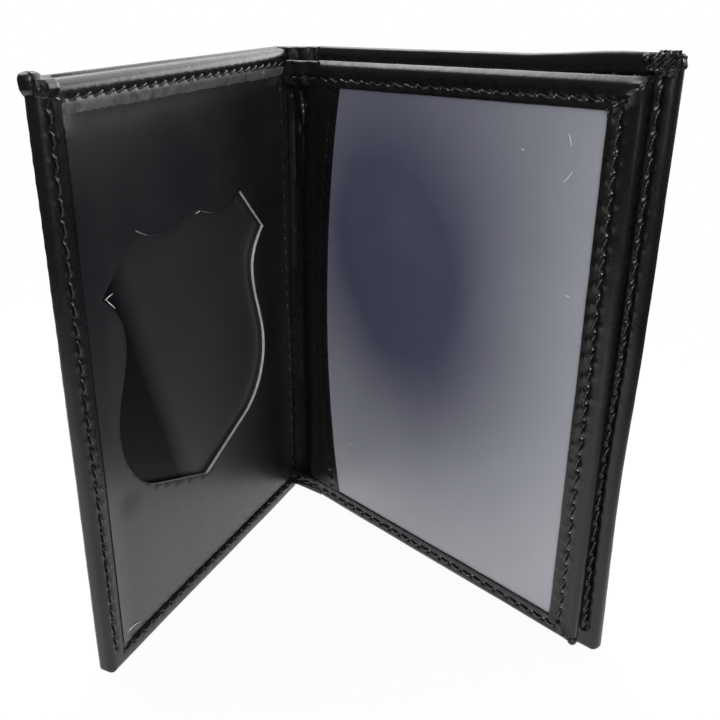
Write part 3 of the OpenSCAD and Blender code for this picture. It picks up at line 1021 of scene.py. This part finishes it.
# pale fibres that the knife pulled out of the panel's cut edge, at the shield's points
smallPieces("cutEdgeFibre", (
    ((69.9, 71.9), (68.8, 72.3), (67.7, 72.4)), ((69.7, 72.0), (68.6, 70.8), (67.4, 69.7)),
    ((59.3, 82.3), (57.2, 81.7), (55.0, 80.7)), ((40.8, 83.2), (38.8, 82.5), (36.7, 81.5)),
    ((38.2, 81.4), (38.9, 80.7), (39.4, 80.2), (40.8, 80.4)),
    # the last lies along the panel's lower free corner: a pale fibre that also stands as a painted highlight for the
    # glint at the foot seam's end
    ((75.2, 5.6), (74.4, 5.9), (73.2, 5.8), (72.2, 6.1), (71.0, 5.9), (69.4, 5.3)),
), 3.18, 0.05, 0.12, "left", "left_cover")
print("left cover sewn")


# right cover's inner pocket

rightPocket = dict(mouth=13.0, end=75.38, low=3.3, high=103.9, panel=(1.45, 1.95), panelGap=0.8, cell=2.0,
                   strip=(1.27, 2.35), stripWidth=5.3, stripLow=3.35, stripHigh=103.85, roll=0.52, edge=0.18,
                   rowOff=2.9, rowHigh=102.5, rowLow=5.0)
mouth, mouthEnd = -rightPocket["mouth"], -rightPocket["mouth"] - rightPocket["stripWidth"]
pocketPanel = addSheet("rightPocketLeather", (rightPocket["panel"][0], -rightPocket["end"], rightPocket["low"]),
                       (rightPocket["panel"][1], mouth - rightPocket["panelGap"], rightPocket["high"]),
                       rightPocket["cell"])
flex(pocketPanel)
settle(pocketPanel, "right", "right_cover", ["right_pocket_panel"], material=panelLeather)

hemFace = rightPocket["strip"][1]
pocketStrip = addBlock("rightPocketHem", (rightPocket["strip"][0], mouthEnd, rightPocket["stripLow"]),
                       (hemFace, mouth, rightPocket["stripHigh"]))
roundEdges(pocketStrip, [
    (rightPocket["roll"], lambda co, along: near(co.y, mouth) and runs(along, "z")),
    (rightPocket["edge"], lambda co, along: near(co.x, hemFace) and runs(along, "z")),
], segments=5)
cutEvery(pocketStrip, 2, rightPocket["stripLow"], rightPocket["stripHigh"], 0.8)
cutEvery(pocketStrip, 1, mouthEnd + 0.2, mouth - 0.55, 0.55)
splitFaces(pocketStrip)
mouthRow = rowPoints(flat(hemFace, rightPocket["mouth"] + rightPocket["rowOff"], rightPocket["rowHigh"]),
                     flat(hemFace, rightPocket["mouth"] + rightPocket["rowOff"], rightPocket["rowLow"]))
seamMarks(pocketStrip, mouthRow, inward)
flex(pocketStrip, pucker=1.0)
settle(pocketStrip, "right", "right_cover", ["right_pocket_binding"])
for ending, out in (("", inward), ("Out", outward)):
    for part in ("Side", "Top", "Bottom"):
        rowName = "right" + part + ending
        sew(rowName + "Thread", rows[rowName], out, side="right", body="right_cover")
sew("rightMouthThread", mouthRow, inward, side="right", body="right_cover")
print("right cover sewn")


# leaf with its two windows

leaf = dict(back=2.6, front=4.8, end=77.2, foot=2.2, top=104.7, side=5.7, topWidth=4.3, bottomWidth=3.8,
            gusset=10.4, bow=4.2, corner=1.1, rim=0.90, topRoll=1.15, topBack=0.30, cutEdge=0.16, start=3.2,
            vinylBack=(3.05, 3.35), vinylFront=(4.05, 4.35), windowStart=4.5, windowIn=1.2, windowCell=3.0, bevel=0.14)
back, face = leaf["back"], leaf["front"]
topInner = leaf["top"] - leaf["topWidth"]
bowChord = topInner - leaf["foot"] - leaf["bottomWidth"]
bowMiddle = leaf["foot"] + leaf["bottomWidth"] + bowChord / 2


def gussetEdge(z):
    # distance of the gusset's bowed edge from the crease at height z
    part = min(1.0, abs(z - bowMiddle) / (bowChord / 2))
    return leaf["gusset"] - leaf["bow"] * (1 - part ** 2)


def makeLeafFrame():
    block = addBlock("leafFrame", (back, -leaf["end"], leaf["foot"]), (face, -leaf["start"], leaf["top"]))
    cutAway(block, addBlock("windowCutter", (0, -leaf["end"] + leaf["side"], leaf["foot"] + leaf["bottomWidth"]),
                            (8, 0, topInner)))
    mergeFlat(block)

    def onFace(co):
        return near(co.x, back) or near(co.x, face)

    def onTop(co):
        return near(co.z, leaf["top"])

    def onEnd(co):
        return near(co.y, -leaf["end"])

    def onFoot(co):
        return near(co.z, leaf["foot"])

    roundEdges(block, [
        (leaf["topRoll"], lambda co, along: near(co.x, face) and onTop(co) and runs(along, "y")),
        (leaf["topBack"], lambda co, along: near(co.x, back) and onTop(co) and runs(along, "y")),
        (leaf["corner"], lambda co, along: onEnd(co) and (onTop(co) or onFoot(co)) and runs(along, "x")),
        (leaf["rim"], lambda co, along: onFace(co) and (onEnd(co) or onFoot(co)) and crosses(along, "x")),
        (leaf["cutEdge"], lambda co, along: onFace(co) and crosses(along, "x") and -co.y > leaf["start"] + touch),
    ], segments=8)
    return block


def mitred(source, name, cuts):
    # cuts are (point, normal, side to clear)
    piece = source.copy()
    piece.data = source.data.copy()
    scene.collection.objects.link(piece)
    nameIt(piece, name)
    for point, normal, clear in cuts:
        editingAll(piece)
        bpy.ops.mesh.bisect(plane_co=point, plane_no=normal, use_fill=True,
                            clear_inner=clear == "inner", clear_outer=clear == "outer")
        bpy.ops.mesh.select_mode(type="EDGE")
        doneEditing()
        unit = Vector(normal).normalized()
        pick(piece, "EDGE", lambda co, e: abs((co - Vector(point)).dot(unit)) < touch and
             len(e.link_faces) == 2 and e.calc_face_angle(0) > 0.8)
        bpy.ops.mesh.bevel(offset=leaf["bevel"], segments=2, affect="EDGES")
        doneEditing()
    return piece


leafFrame = makeLeafFrame()
topCut = (flat(0, leaf["end"], leaf["top"]), Vector((0, leaf["topWidth"], leaf["side"])))
lowCut = (flat(0, leaf["end"], leaf["foot"]), Vector((0, leaf["bottomWidth"], -leaf["side"])))
topHem = mitred(leafFrame, "leafTopHem", [(*topCut, "inner")])
sideHem = mitred(leafFrame, "leafSideHem", [(*topCut, "outer"), (*lowCut, "outer")])
bottomHem = mitred(leafFrame, "leafBottomHem", [(*lowCut, "inner")])
for piece, keepTop in ((topHem, True), (bottomHem, False)):
    # the C-shaped frame's other arm goes
    middle = (leaf["foot"] + leaf["top"]) / 2
    pick(piece, "FACE", lambda co, f: (co.z < middle) == keepTop)
    bpy.ops.mesh.delete(type="FACE")
    doneEditing()
bpy.data.objects.remove(leafFrame)

# rise of the leaf's top edge over its depth: a ridge in front of the middle, rolled down to the front
topRidge = dict(deep=1.2, rows=((0.0, -0.15), (0.14, 0.06), (0.477, 0.80), (0.636, 0.58), (0.727, 0.50),
                                (0.818, 0.46), (1.0, 0.50)),
                gussetRows=((0.0, -0.15), (0.14, 0.06), (0.59, 0.86), (0.73, 0.74), (0.82, 0.69), (1.0, 0.60)))


def ridgeRise(depth, profile):
    for (before, low), (after, high) in zip(profile, profile[1:]):
        if depth <= after:
            return low + (high - low) * (depth - before) / (after - before)
    return profile[-1][1]


def ridgeTop(piece, depthPart, profile):
    for vert in piece.data.vertices:
        lift = min(1.0, (vert.co.z - leaf["top"] + topRidge["deep"]) / topRidge["deep"])
        if lift > 0:
            vert.co.z += lift * ridgeRise(held(depthPart(vert.co)), profile)


def leafDepth(co):
    return (co.x - back) / (face - back)


hemCuts = dict(along=0.8, across=0.6, acrossSide=0.65, corner=2.6, outer=1.0, top=1.75, edge=0.2)
for piece, low, width, under, over in (
    (topHem, topInner, leaf["topWidth"], hemCuts["edge"], hemCuts["top"]),
    (bottomHem, leaf["foot"], leaf["bottomWidth"], hemCuts["outer"], hemCuts["edge"]),
):
    cutEvery(piece, 1, -leaf["end"] + hemCuts["corner"], -leaf["start"], hemCuts["along"])
    cutEvery(piece, 2, low + under, low + width - over, hemCuts["across"])
cutEvery(sideHem, 2, leaf["foot"] + hemCuts["corner"], leaf["top"] - hemCuts["corner"], hemCuts["along"])
cutEvery(sideHem, 1, -leaf["end"] + hemCuts["outer"], -leaf["end"] + leaf["side"] - hemCuts["edge"],
         hemCuts["acrossSide"])

# each hem's row of holes, how far its pillows stand out, and on which sides
seamHeight = dict(top=101.9, foot=4.2)
hemRows = {
    "Top": (topHem, rowPoints(flat(face, 73.2, seamHeight["top"]), flat(face, 4.2, seamHeight["top"]), pitch=3.0),
            0.9, (1,)),
    "Side": (sideHem, rowPoints(flat(face, 73.6, 5.6), flat(face, 73.6, 101.2)), 1.3, (-1, 1)),
    "Bottom": (bottomHem, rowPoints(flat(face, 73.2, seamHeight["foot"]), flat(face, 4.2, seamHeight["foot"]),
                                    pitch=3.0), 0.8, (-1, 1)),
}
gather = dict(count=5, press=0.36, size=1.1, push=0.26, pushSize=0.45)
mitres = [(pair, flat(face, leaf["end"] - 0.6, outer), flat(face, leaf["end"] - leaf["side"], inner))
          for pair, outer, inner in (((topHem, sideHem), leaf["top"] - 0.5, topInner),
                                     ((bottomHem, sideHem), leaf["foot"] + 0.5, leaf["foot"] + leaf["bottomWidth"]))]
for part, (piece, points, puff, sides) in hemRows.items():
    splitFaces(piece)
    backPoints = [Vector((back, p.y, p.z)) for p in points]
    seamMarks(piece, points, inward, 1.0, puff, sides=sides)
    seamMarks(piece, backPoints, outward)
    if part != "Bottom":
        ridgeTop(piece, leafDepth, topRidge["rows"])
    if part == "Top":
        press(piece, [p + Vector((0, 0, 0.9)) for p in points[1::2]], (0.10, 0, 0), 1.0, inward)
    for pair, start, end in mitres:
        if piece in pair:
            press(piece, line(start, end, 0.3), (gather["press"], 0, 0), gather["size"], inward)
            for i in range(gather["count"]):      # little gathers across the mitre
                spot = start.lerp(end, (i + 0.5) / gather["count"])
                press(piece, line(spot + flat(0, 0.55, 0.45), spot + flat(0, -0.35, -0.4), 0.25),
                      (gather["push"] if i % 2 else -gather["push"], 0, 0), gather["pushSize"], inward)
    flex(piece, pucker=0.6 if part == "Top" else 1.2)
    settle(piece, "right", "leaf", ["leaf_" + part.lower() + "_binding"])
    sew("leaf" + part + "Thread", points, inward, tilt=1.6, side="right", body="leaf")
    sew("leaf" + part + "ThreadBack", backPoints, outward, side="right", body="leaf")
makeFold("leafFootCornerFold", (3.3, -77.6, 2.0), (5.15, -75.9, 3.7), [], "right", "leaf", 0.8, 0.2)
print("leaf hems mitred")

for name, nodeName, depths in (("leafFrontWindow", "leaf_front_window", leaf["vinylFront"]),
                               ("leafBackWindow", "leaf_back_window", leaf["vinylBack"])):
    window = addSheet(name, (depths[0], -leaf["end"] + leaf["windowIn"], leaf["foot"] + leaf["windowIn"]),
                      (depths[1], -leaf["windowStart"], leaf["top"] - leaf["windowIn"]), leaf["windowCell"])
    splitFaces(window)
    flex(window, ripple=0)
    settle(window, "right", "leaf", [nodeName], "vinyl", vinyl)
smallPieces("filmScratch", (      # hair scratches and specks that show white on the film
    ((64.6, 88.6), (65.7, 89.4), (66.2, 90.5)), ((64.8, 96.4), (65.3, 95.4), (65.6, 94.3)),
    ((56.0, 93.1), (56.35, 92.95), (56.5, 92.8)), ((67.3, 69.9), (67.7, 69.75), (68.1, 69.7)),
    ((13.8, 20.5), (14.1, 20.4), (14.5, 20.4)),
), leaf["vinylFront"][1] + 0.03, 0.0, 0.07, "right", "leaf")
print("windows in")


# gusset: soft leather from the spine into the leaf

gusset = dict(thick=0.34, face=4.62, bendStart=3.0, low=3.0, high=104.7, drop=0.8, cell=1.0, straightFrom=92.0,
              straightEnd=(-2.2, -1.95), seamIn=2.1, rowLow=7.2, rowPitch=3.3, holes=29,
              along=(10.4, 9.6, 8.8, 8.0, 7.2, 6.4, 5.6, 4.8, 4.0, 3.2, 2.4),
              recessed=((4.9, -5.0), (3.7, -4.35), (2.75, -3.45), (1.95, -2.5), (1.1, -1.75), (0.0, -1.4),
                        (-1.4, -1.25), (-3.0, -1.2), (-4.7, -1.2)))
leafOut = Vector((-cosAngle, -sinAngle, 0))
rowHeights = [gusset["rowLow"] + gusset["rowPitch"] * i for i in range(gusset["holes"])]


def leafPoint(x, u):
    return Vector((creaseX - x * cosAngle + u * sinAngle, -x * sinAngle - u * cosAngle))


def leafReach(co):
    # distance from the crease along the leaf
    return (co.x - creaseX) * sinAngle - co.y * cosAngle


def benchStrip(name, path, low, high, cell):
    # a leather strip that follows the path seen from above
    freeAll()
    bpy.ops.mesh.primitive_plane_add(size=1)
    strip = nameIt(bpy.context.object, name)
    corners = [(path[0], low), (path[1], low), (path[0], high), (path[1], high)]
    for vert, (point, z) in zip(strip.data.vertices, corners):
        vert.co = (point.x, point.y, z)
    pick(strip, "EDGE", lambda co, e: (co.xy - path[1]).length < touch)
    for a, b in zip(path[1:-1], path[2:]):
        bpy.ops.mesh.extrude_region_move(TRANSFORM_OT_translate={"value": (b.x - a.x, b.y - a.y, 0)})
    doneEditing()
    cutEvery(strip, 2, low, high, cell)
    editingAll(strip)
    bpy.ops.mesh.flip_normals()
    doneEditing()
    return strip


gussetPath = [leafPoint(gusset["face"], u) for u in gusset["along"]] + [Vector(p) for p in gusset["recessed"]]
gussetSkin = benchStrip("leafGussetLeather", gussetPath, gusset["low"], gusset["high"] - gusset["drop"], gusset["cell"])
print("gusset strip:", len(gussetSkin.data.vertices))
straightEnd = Vector(gusset["straightEnd"])
bendStart = gusset["bendStart"]
flangeStart = leafPoint(gusset["face"], bendStart)
for vert in gussetSkin.data.vertices:
    z, reach = vert.co.z, leafReach(vert.co)
    if reach > bendStart:
        target = bendStart + (reach - bendStart) * (gussetEdge(z) - bendStart) / (leaf["gusset"] - bendStart)
        spot = leafPoint(gusset["face"], target)
        vert.co.x, vert.co.y = spot.x, spot.y
    elif vert.co.x > straightEnd.x:
        spot = flangeStart.lerp(straightEnd, held((flangeStart.x - vert.co.x) / (flangeStart.x - straightEnd.x)))
        vert.co.y += (spot.y - vert.co.y) * softShare(z, gusset["straightFrom"], gusset["high"])
applied(gussetSkin, "SUBSURF", levels=1, render_levels=1, boundary_smooth="PRESERVE_CORNERS")
# soft creases where the leather is pulled towards the spine
for start, end, push, wide in (
    ((1.9, -2.6, 99), (1.5, -2.2, 86), 0.75, 1.1),
    ((0.3, -1.7, 101), (0.9, -1.8, 80), 0.55, 1.3),
    ((-0.6, -1.3, 99), (-0.9, -1.3, 60), -0.30, 1.0),
    ((3.2, -4.0, 101), (2.6, -3.2, 84), -0.45, 1.0),
    ((2.6, -3.2, 80), (2.8, -3.4, 40), 0.22, 1.2),
    ((0.8, -1.7, 50), (1.8, -2.4, 8), -0.26, 1.3),
    ((2.1, -3.2, 98.5), (2.3, -3.3, 96.5), -0.9, 1.5),
    ((-0.2, -1.9, 99.5), (0.2, -2.0, 95.5), -0.6, 1.5),
    ((0.8, -2.2, 93.0), (1.5, -2.6, 90.5), -0.7, 1.3),
):
    press(gussetSkin, line(start, end), Vector((0.35, -0.94, 0)) * push, wide)
gussetRow = [Vector((*leafPoint(gusset["face"], gussetEdge(z) - gusset["seamIn"]), z)) for z in rowHeights]
refine(gussetSkin, lambda co, f: leafReach(co) > 2.0, 1)
seamMarks(gussetSkin, gussetRow, leafOut, 0.35, 0.25)
ruffle(gussetSkin, rippleWave, 0.12)
applied(gussetSkin, "SOLIDIFY", thickness=gusset["thick"], offset=-1.0, material_offset_rim=1)
settle(gussetSkin, "spine", None, ["leaf_gusset"])
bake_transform(gussetSkin)

# the leaf's hems run on from the crease zone to the spine
hemShape = dict(end=(-4.4, -1.65), start=(3.7, 3.2), steps=22, cell=0.42, ripple=0.05)
hemPath = [leafPoint((back + face) / 2, u) for u in hemShape["start"]]
hemPath += [hemPath[1].lerp(Vector(hemShape["end"]), (i + 1) / hemShape["steps"]) for i in range(hemShape["steps"])]
hemOut = Vector((-0.33, -0.94, 0))      # to the camera side of the path
front = hemOut * (face - back) / 2


def fromPath(co, way):
    nearest = min(hemPath, key=lambda spot: (spot - co.xy).length)
    return (co.xy - nearest).dot(way)


def pathDepth(co):
    return 0.5 + fromPath(co, front.xy.normalized()) / (face - back)


for name, low, high, rollHigh, rollLow, seam in (
    ("gussetTopHem", topInner, leaf["top"], leaf["topRoll"], leaf["cutEdge"], seamHeight["top"]),
    ("gussetFootHem", leaf["foot"], leaf["foot"] + leaf["bottomWidth"], leaf["cutEdge"], leaf["rim"],
     seamHeight["foot"]),
):
    hem = benchStrip(name, hemPath, low, high, hemShape["cell"])
    applied(hem, "SOLIDIFY", thickness=face - back, offset=0.0)
    roundEdges(hem, [
        (roll, lambda co, along, z=z: near(co.z, z) and crosses(along, "z") and fromPath(co, hemOut.xy) > 0.3)
        for roll, z in ((rollHigh, high), (rollLow, low))
    ], segments=8)
    hemRow = [Vector((a.x, a.y, seam)) + front for a in hemPath[1::5]]
    seamMarks(hem, hemRow, front, 0.9, 1.0)
    if name == "gussetTopHem":
        for a, push in ((5, 0.22), (9, -0.18), (14, 0.25), (18, -0.2)):
            spot = hemPath[a]
            crease = line(Vector((spot.x, spot.y, high - 0.6)) + front,
                          Vector((spot.x + 0.7, spot.y, low + 0.6)) + front)
            press(hem, crease, front * -push, 0.9)
        ridgeTop(hem, pathDepth, topRidge["gussetRows"])
    ruffle(hem, puckerWave, hemShape["ripple"])
    settle(hem, "spine", None)
    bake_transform(hem)
    hemThread = sew(name + "Thread", hemRow, front, side="spine", body=None, bendToo=False)
    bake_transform(hemThread)
sew("gussetThread", gussetRow, leafOut, side="spine", body="leaf", bendToo=False, thin=0.5, yarn=sunkThread)
print("gusset bent")

# the gusset's flange on the leaf's back, and its wall at the crease
wall = dict(depths=(0.1, 0.45), face=4.5, start=1.0, edge=0.3, cell=1.6, flangeCell=0.9)
gussetBack = addBlock("leafGussetBack", (back + wall["depths"][0], -leaf["gusset"], leaf["foot"] + wall["edge"]),
                      (wall["face"], -wall["start"], leaf["top"] - wall["edge"]))
cutAway(gussetBack, addBlock("slotCutter", (back + wall["depths"][1], -30, -5), (4.9, -bendStart, 120)))
cutEvery(gussetBack, 2, leaf["foot"], leaf["top"], wall["cell"])
cutEvery(gussetBack, 1, -leaf["gusset"], -bendStart, wall["flangeCell"])
for vert in gussetBack.data.vertices:
    u = -vert.co.y
    if u > bendStart:
        edge = gussetEdge(vert.co.z)
        vert.co.y = -(bendStart + (u - bendStart) * (edge - bendStart) / (leaf["gusset"] - bendStart))
splitFaces(gussetBack)
gussetBackRow = [flat(back + wall["depths"][0], gussetEdge(z) - gusset["seamIn"], z) for z in rowHeights]
seamMarks(gussetBack, gussetBackRow, outward)
flex(gussetBack)
settle(gussetBack, "right", "leaf")
sew("gussetThreadBack", gussetBackRow, outward, side="right", body="leaf")


# spine

spine = dict(half=6.04, skin=0.55, height=108, sideEdge=0.54, endEdge=0.30, hemLow=(-4.55, -0.98, 103.8),
             hemHigh=(4.75, 0.50, 107.95), hemRoll=0.55, hemEdge=0.20, hemCell=0.6, cell=2.0, cellAcross=1.0,
             liningLow=(-4.3, -0.85, 0.9), liningHigh=(4.3, -0.5, 107.1), liningCell=1.4)
spineBlock = addBlock("spineLeather", (-spine["half"], -spine["skin"], 0),
                      (spine["half"], spine["skin"], spine["height"]))
roundEdges(spineBlock, [
    (spine["sideEdge"], lambda co, along: runs(along, "z")),
    (spine["endEdge"], lambda co, along: runs(along, "x")),
], segments=5)
cutEvery(spineBlock, 2, 0, spine["height"], spine["cell"])
cutEvery(spineBlock, 0, -5.5, 5.5, spine["cellAcross"])
splitFaces(spineBlock)
for x, low, high, push in ((-3.6, 4, 96, 0.10), (3.4, 10, 104, 0.12), (0.6, 20, 70, 0.06), (-1.5, 50, 103, 0.07)):
    press(spineBlock, line((x, spine["skin"], low), (x + 0.4, spine["skin"], high), 0.8), (0, -push, 0), 1.4,
          Vector((0, 1, 0)))
ruffle(spineBlock, rippleWave, 0.06)
settle(spineBlock, "spine", "spine", ["spine_skin"])

spineHem = addBlock("spineTopHem", spine["hemLow"], spine["hemHigh"])
hemY = spine["hemLow"][1]
roundEdges(spineHem, [
    (spine["hemRoll"], lambda co, along: co.z > 107.9 and runs(along, "x")),
    (spine["hemEdge"], lambda co, along: True),
], segments=4)
cutEvery(spineHem, 0, -4.3, 4.5, spine["hemCell"])
cutEvery(spineHem, 2, 104.0, 107.3, spine["hemCell"])
for x, push in ((-3.4, 0.28), (-2.2, -0.2), (-0.6, 0.25), (1.2, -0.18), (3.1, 0.22)):
    press(spineHem, line((x, hemY, 104.2), (x + 0.3, hemY, 107.6), 0.4), (0, push, 0), 0.8, Vector((0, -1, 0)))
ruffle(spineHem, puckerWave, 0.10)
settle(spineHem, "spine", "spine")

spineLining = addBlock("spineLining", spine["liningLow"], spine["liningHigh"])
cutEvery(spineLining, 2, spine["liningLow"][2], spine["liningHigh"][2], spine["cell"])
cutEvery(spineLining, 0, spine["liningLow"][0], spine["liningHigh"][0], spine["liningCell"])
ruffle(spineLining, rippleWave, 0.06, "Y")
settle(spineLining, "spine", "spine", ["spine_lining"], "lining", liningCloth)
bpy.data.objects.remove(stitchPattern)
print("spine done")


# floor, light and camera

floorShape = dict(size=3.0, dark=(0.93, 0.93, 0.935), pale=(0.95, 0.95, 0.955), rough=0.8, spec=0.1, paper=0.95,
                  paperFar=0.22, paintedPoolMiddle=(-0.02, -0.05, 0.0), near=0.10, far=0.23, farLevel=0.08)


def makeFloor():
    freeAll()
    bpy.ops.mesh.primitive_plane_add(size=floorShape["size"])
    floor = nameIt(bpy.context.object, "floor")
    material, tree, coords, shader = newMaterial("paleFloor")
    cloud = noiseNode(tree, coords, 9.0, 2.0, 0.5)
    feed(tree, shader, {
        "Base Color": rampNode(tree, cloud, [(0.3, floorShape["dark"]), (0.7, floorShape["pale"])]),
        "Roughness": floorShape["rough"], "Specular IOR Level": floorShape["spec"],
    })
    # the camera and the gloss see the floor as white paper, with the shadow kept faint;
    # for the gloss the paper glows brightly round the object only, a painted pool of light
    away = vectorNode(tree, "DISTANCE", coords, floorShape["paintedPoolMiddle"])
    paintedLightPool = rangeNode(tree, away, floorShape["near"], floorShape["far"], 1.0, floorShape["farLevel"])
    paper = rangeNode(tree, away, floorShape["near"], floorShape["paperFar"], floorShape["paper"], 1.0)
    rays = addNode(tree, "LightPath", {}).outputs
    gloss = mathNode(tree, "MAXIMUM", rays["Is Glossy Ray"], rays["Is Transmission Ray"])
    seen = mathNode(tree, "MAXIMUM", rays["Is Camera Ray"], gloss)
    glow = addNode(tree, "Emission", {"Strength": mathNode(tree, "MAXIMUM", paintedLightPool, rays["Is Camera Ray"])})
    mix = addNode(tree, "MixShader", {0: mathNode(tree, "MULTIPLY", seen, paper), 1: shader.outputs[0],
                                      2: glow.outputs[0]})
    feed(tree, tree.nodes["Material Output"], {"Surface": mix.outputs[0]})
    floor.data.materials.append(material)


makeFloor()

# white all round for the camera; the room in front of the object is darker than the wall behind it
room = dict(front=0.11, back=1.0, wallWay=(-0.2, 0.98, 0.0), wall=(0.28, 0.72), up=0.40, fall=(0.58, 0.92),
            ceiling=0.85, ceilingSpan=(0.62, 0.86))
world = bpy.data.worlds.new("studio")
scene.world = world
world.use_nodes = True
sky = world.node_tree
way = addNode(sky, "TexCoord", {}).outputs["Generated"]
up = addNode(sky, "SeparateXYZ", {0: way}).outputs["Z"]
towards = vectorNode(sky, "DOT_PRODUCT", way, room["wallWay"])
behind = rangeNode(sky, towards, *room["wall"], room["front"], room["back"])
fall = rangeNode(sky, up, *room["fall"], 1.0, room["up"])
ceiling = rangeNode(sky, up, *room["ceilingSpan"], 0.0, room["ceiling"])
level = mathNode(sky, "MAXIMUM", mathNode(sky, "MULTIPLY", behind, fall), ceiling)
cameraRay = addNode(sky, "LightPath", {}).outputs["Is Camera Ray"]
feed(sky, sky.nodes["Background"], {"Color": (1, 1, 1, 1), "Strength": mathNode(sky, "MAXIMUM", level, cameraRay)})

# each lamp's place, target, size and power
for name, place, target, size, power in (
    ("softTop", (-0.02, 0.62, 0.58), (0.0, -0.03, 0.10), (0.80, 0.40), 1.6),
    ("softHigh", (-0.37, 0.27, 0.70), (0.03, -0.03, 0.105), (0.60, 0.30), 3.2),
    ("softBack", (0.33, 0.85, 0.27), (0.02, -0.03, 0.08), (0.80, 0.46), 4.3),
    ("softFront", (0.30, -0.75, 0.40), (0.04, -0.03, 0.05), (0.55, 0.50), 5.2),
):
    data = bpy.data.lights.new(name, "AREA")
    data.shape = "RECTANGLE"
    data.size, data.size_y = size
    data.energy = power
    lamp = bpy.data.objects.new(name, data)
    scene.collection.objects.link(lamp)
    lamp.location = place
    lamp.visible_camera = False
    lamp.rotation_euler = (Vector(target) - Vector(place)).to_track_quat("-Z", "Y").to_euler()

cameraShape = dict(place=(0.0893, -0.1807, 0.11755), pitch=66.93, heading=28.5, roll=-1.68, lens=44.19,
                   shift=(0.12147, 0.02078))
cameraData = bpy.data.cameras.new("camera")
cameraData.lens = cameraShape["lens"]
cameraData.sensor_width = 36
cameraData.shift_x, cameraData.shift_y = cameraShape["shift"]
cameraData.clip_start = 0.01
camera = bpy.data.objects.new("camera", cameraData)
scene.collection.objects.link(camera)
turns = [Matrix.Rotation(math.radians(cameraShape[key]), 4, axis) for key, axis in
         (("heading", "Z"), ("pitch", "X"), ("roll", "Z"))]
camera.matrix_world = Matrix.Translation(cameraShape["place"]) @ turns[0] @ turns[1] @ turns[2]
scene.camera = camera
scene.view_settings.view_transform = "Standard"
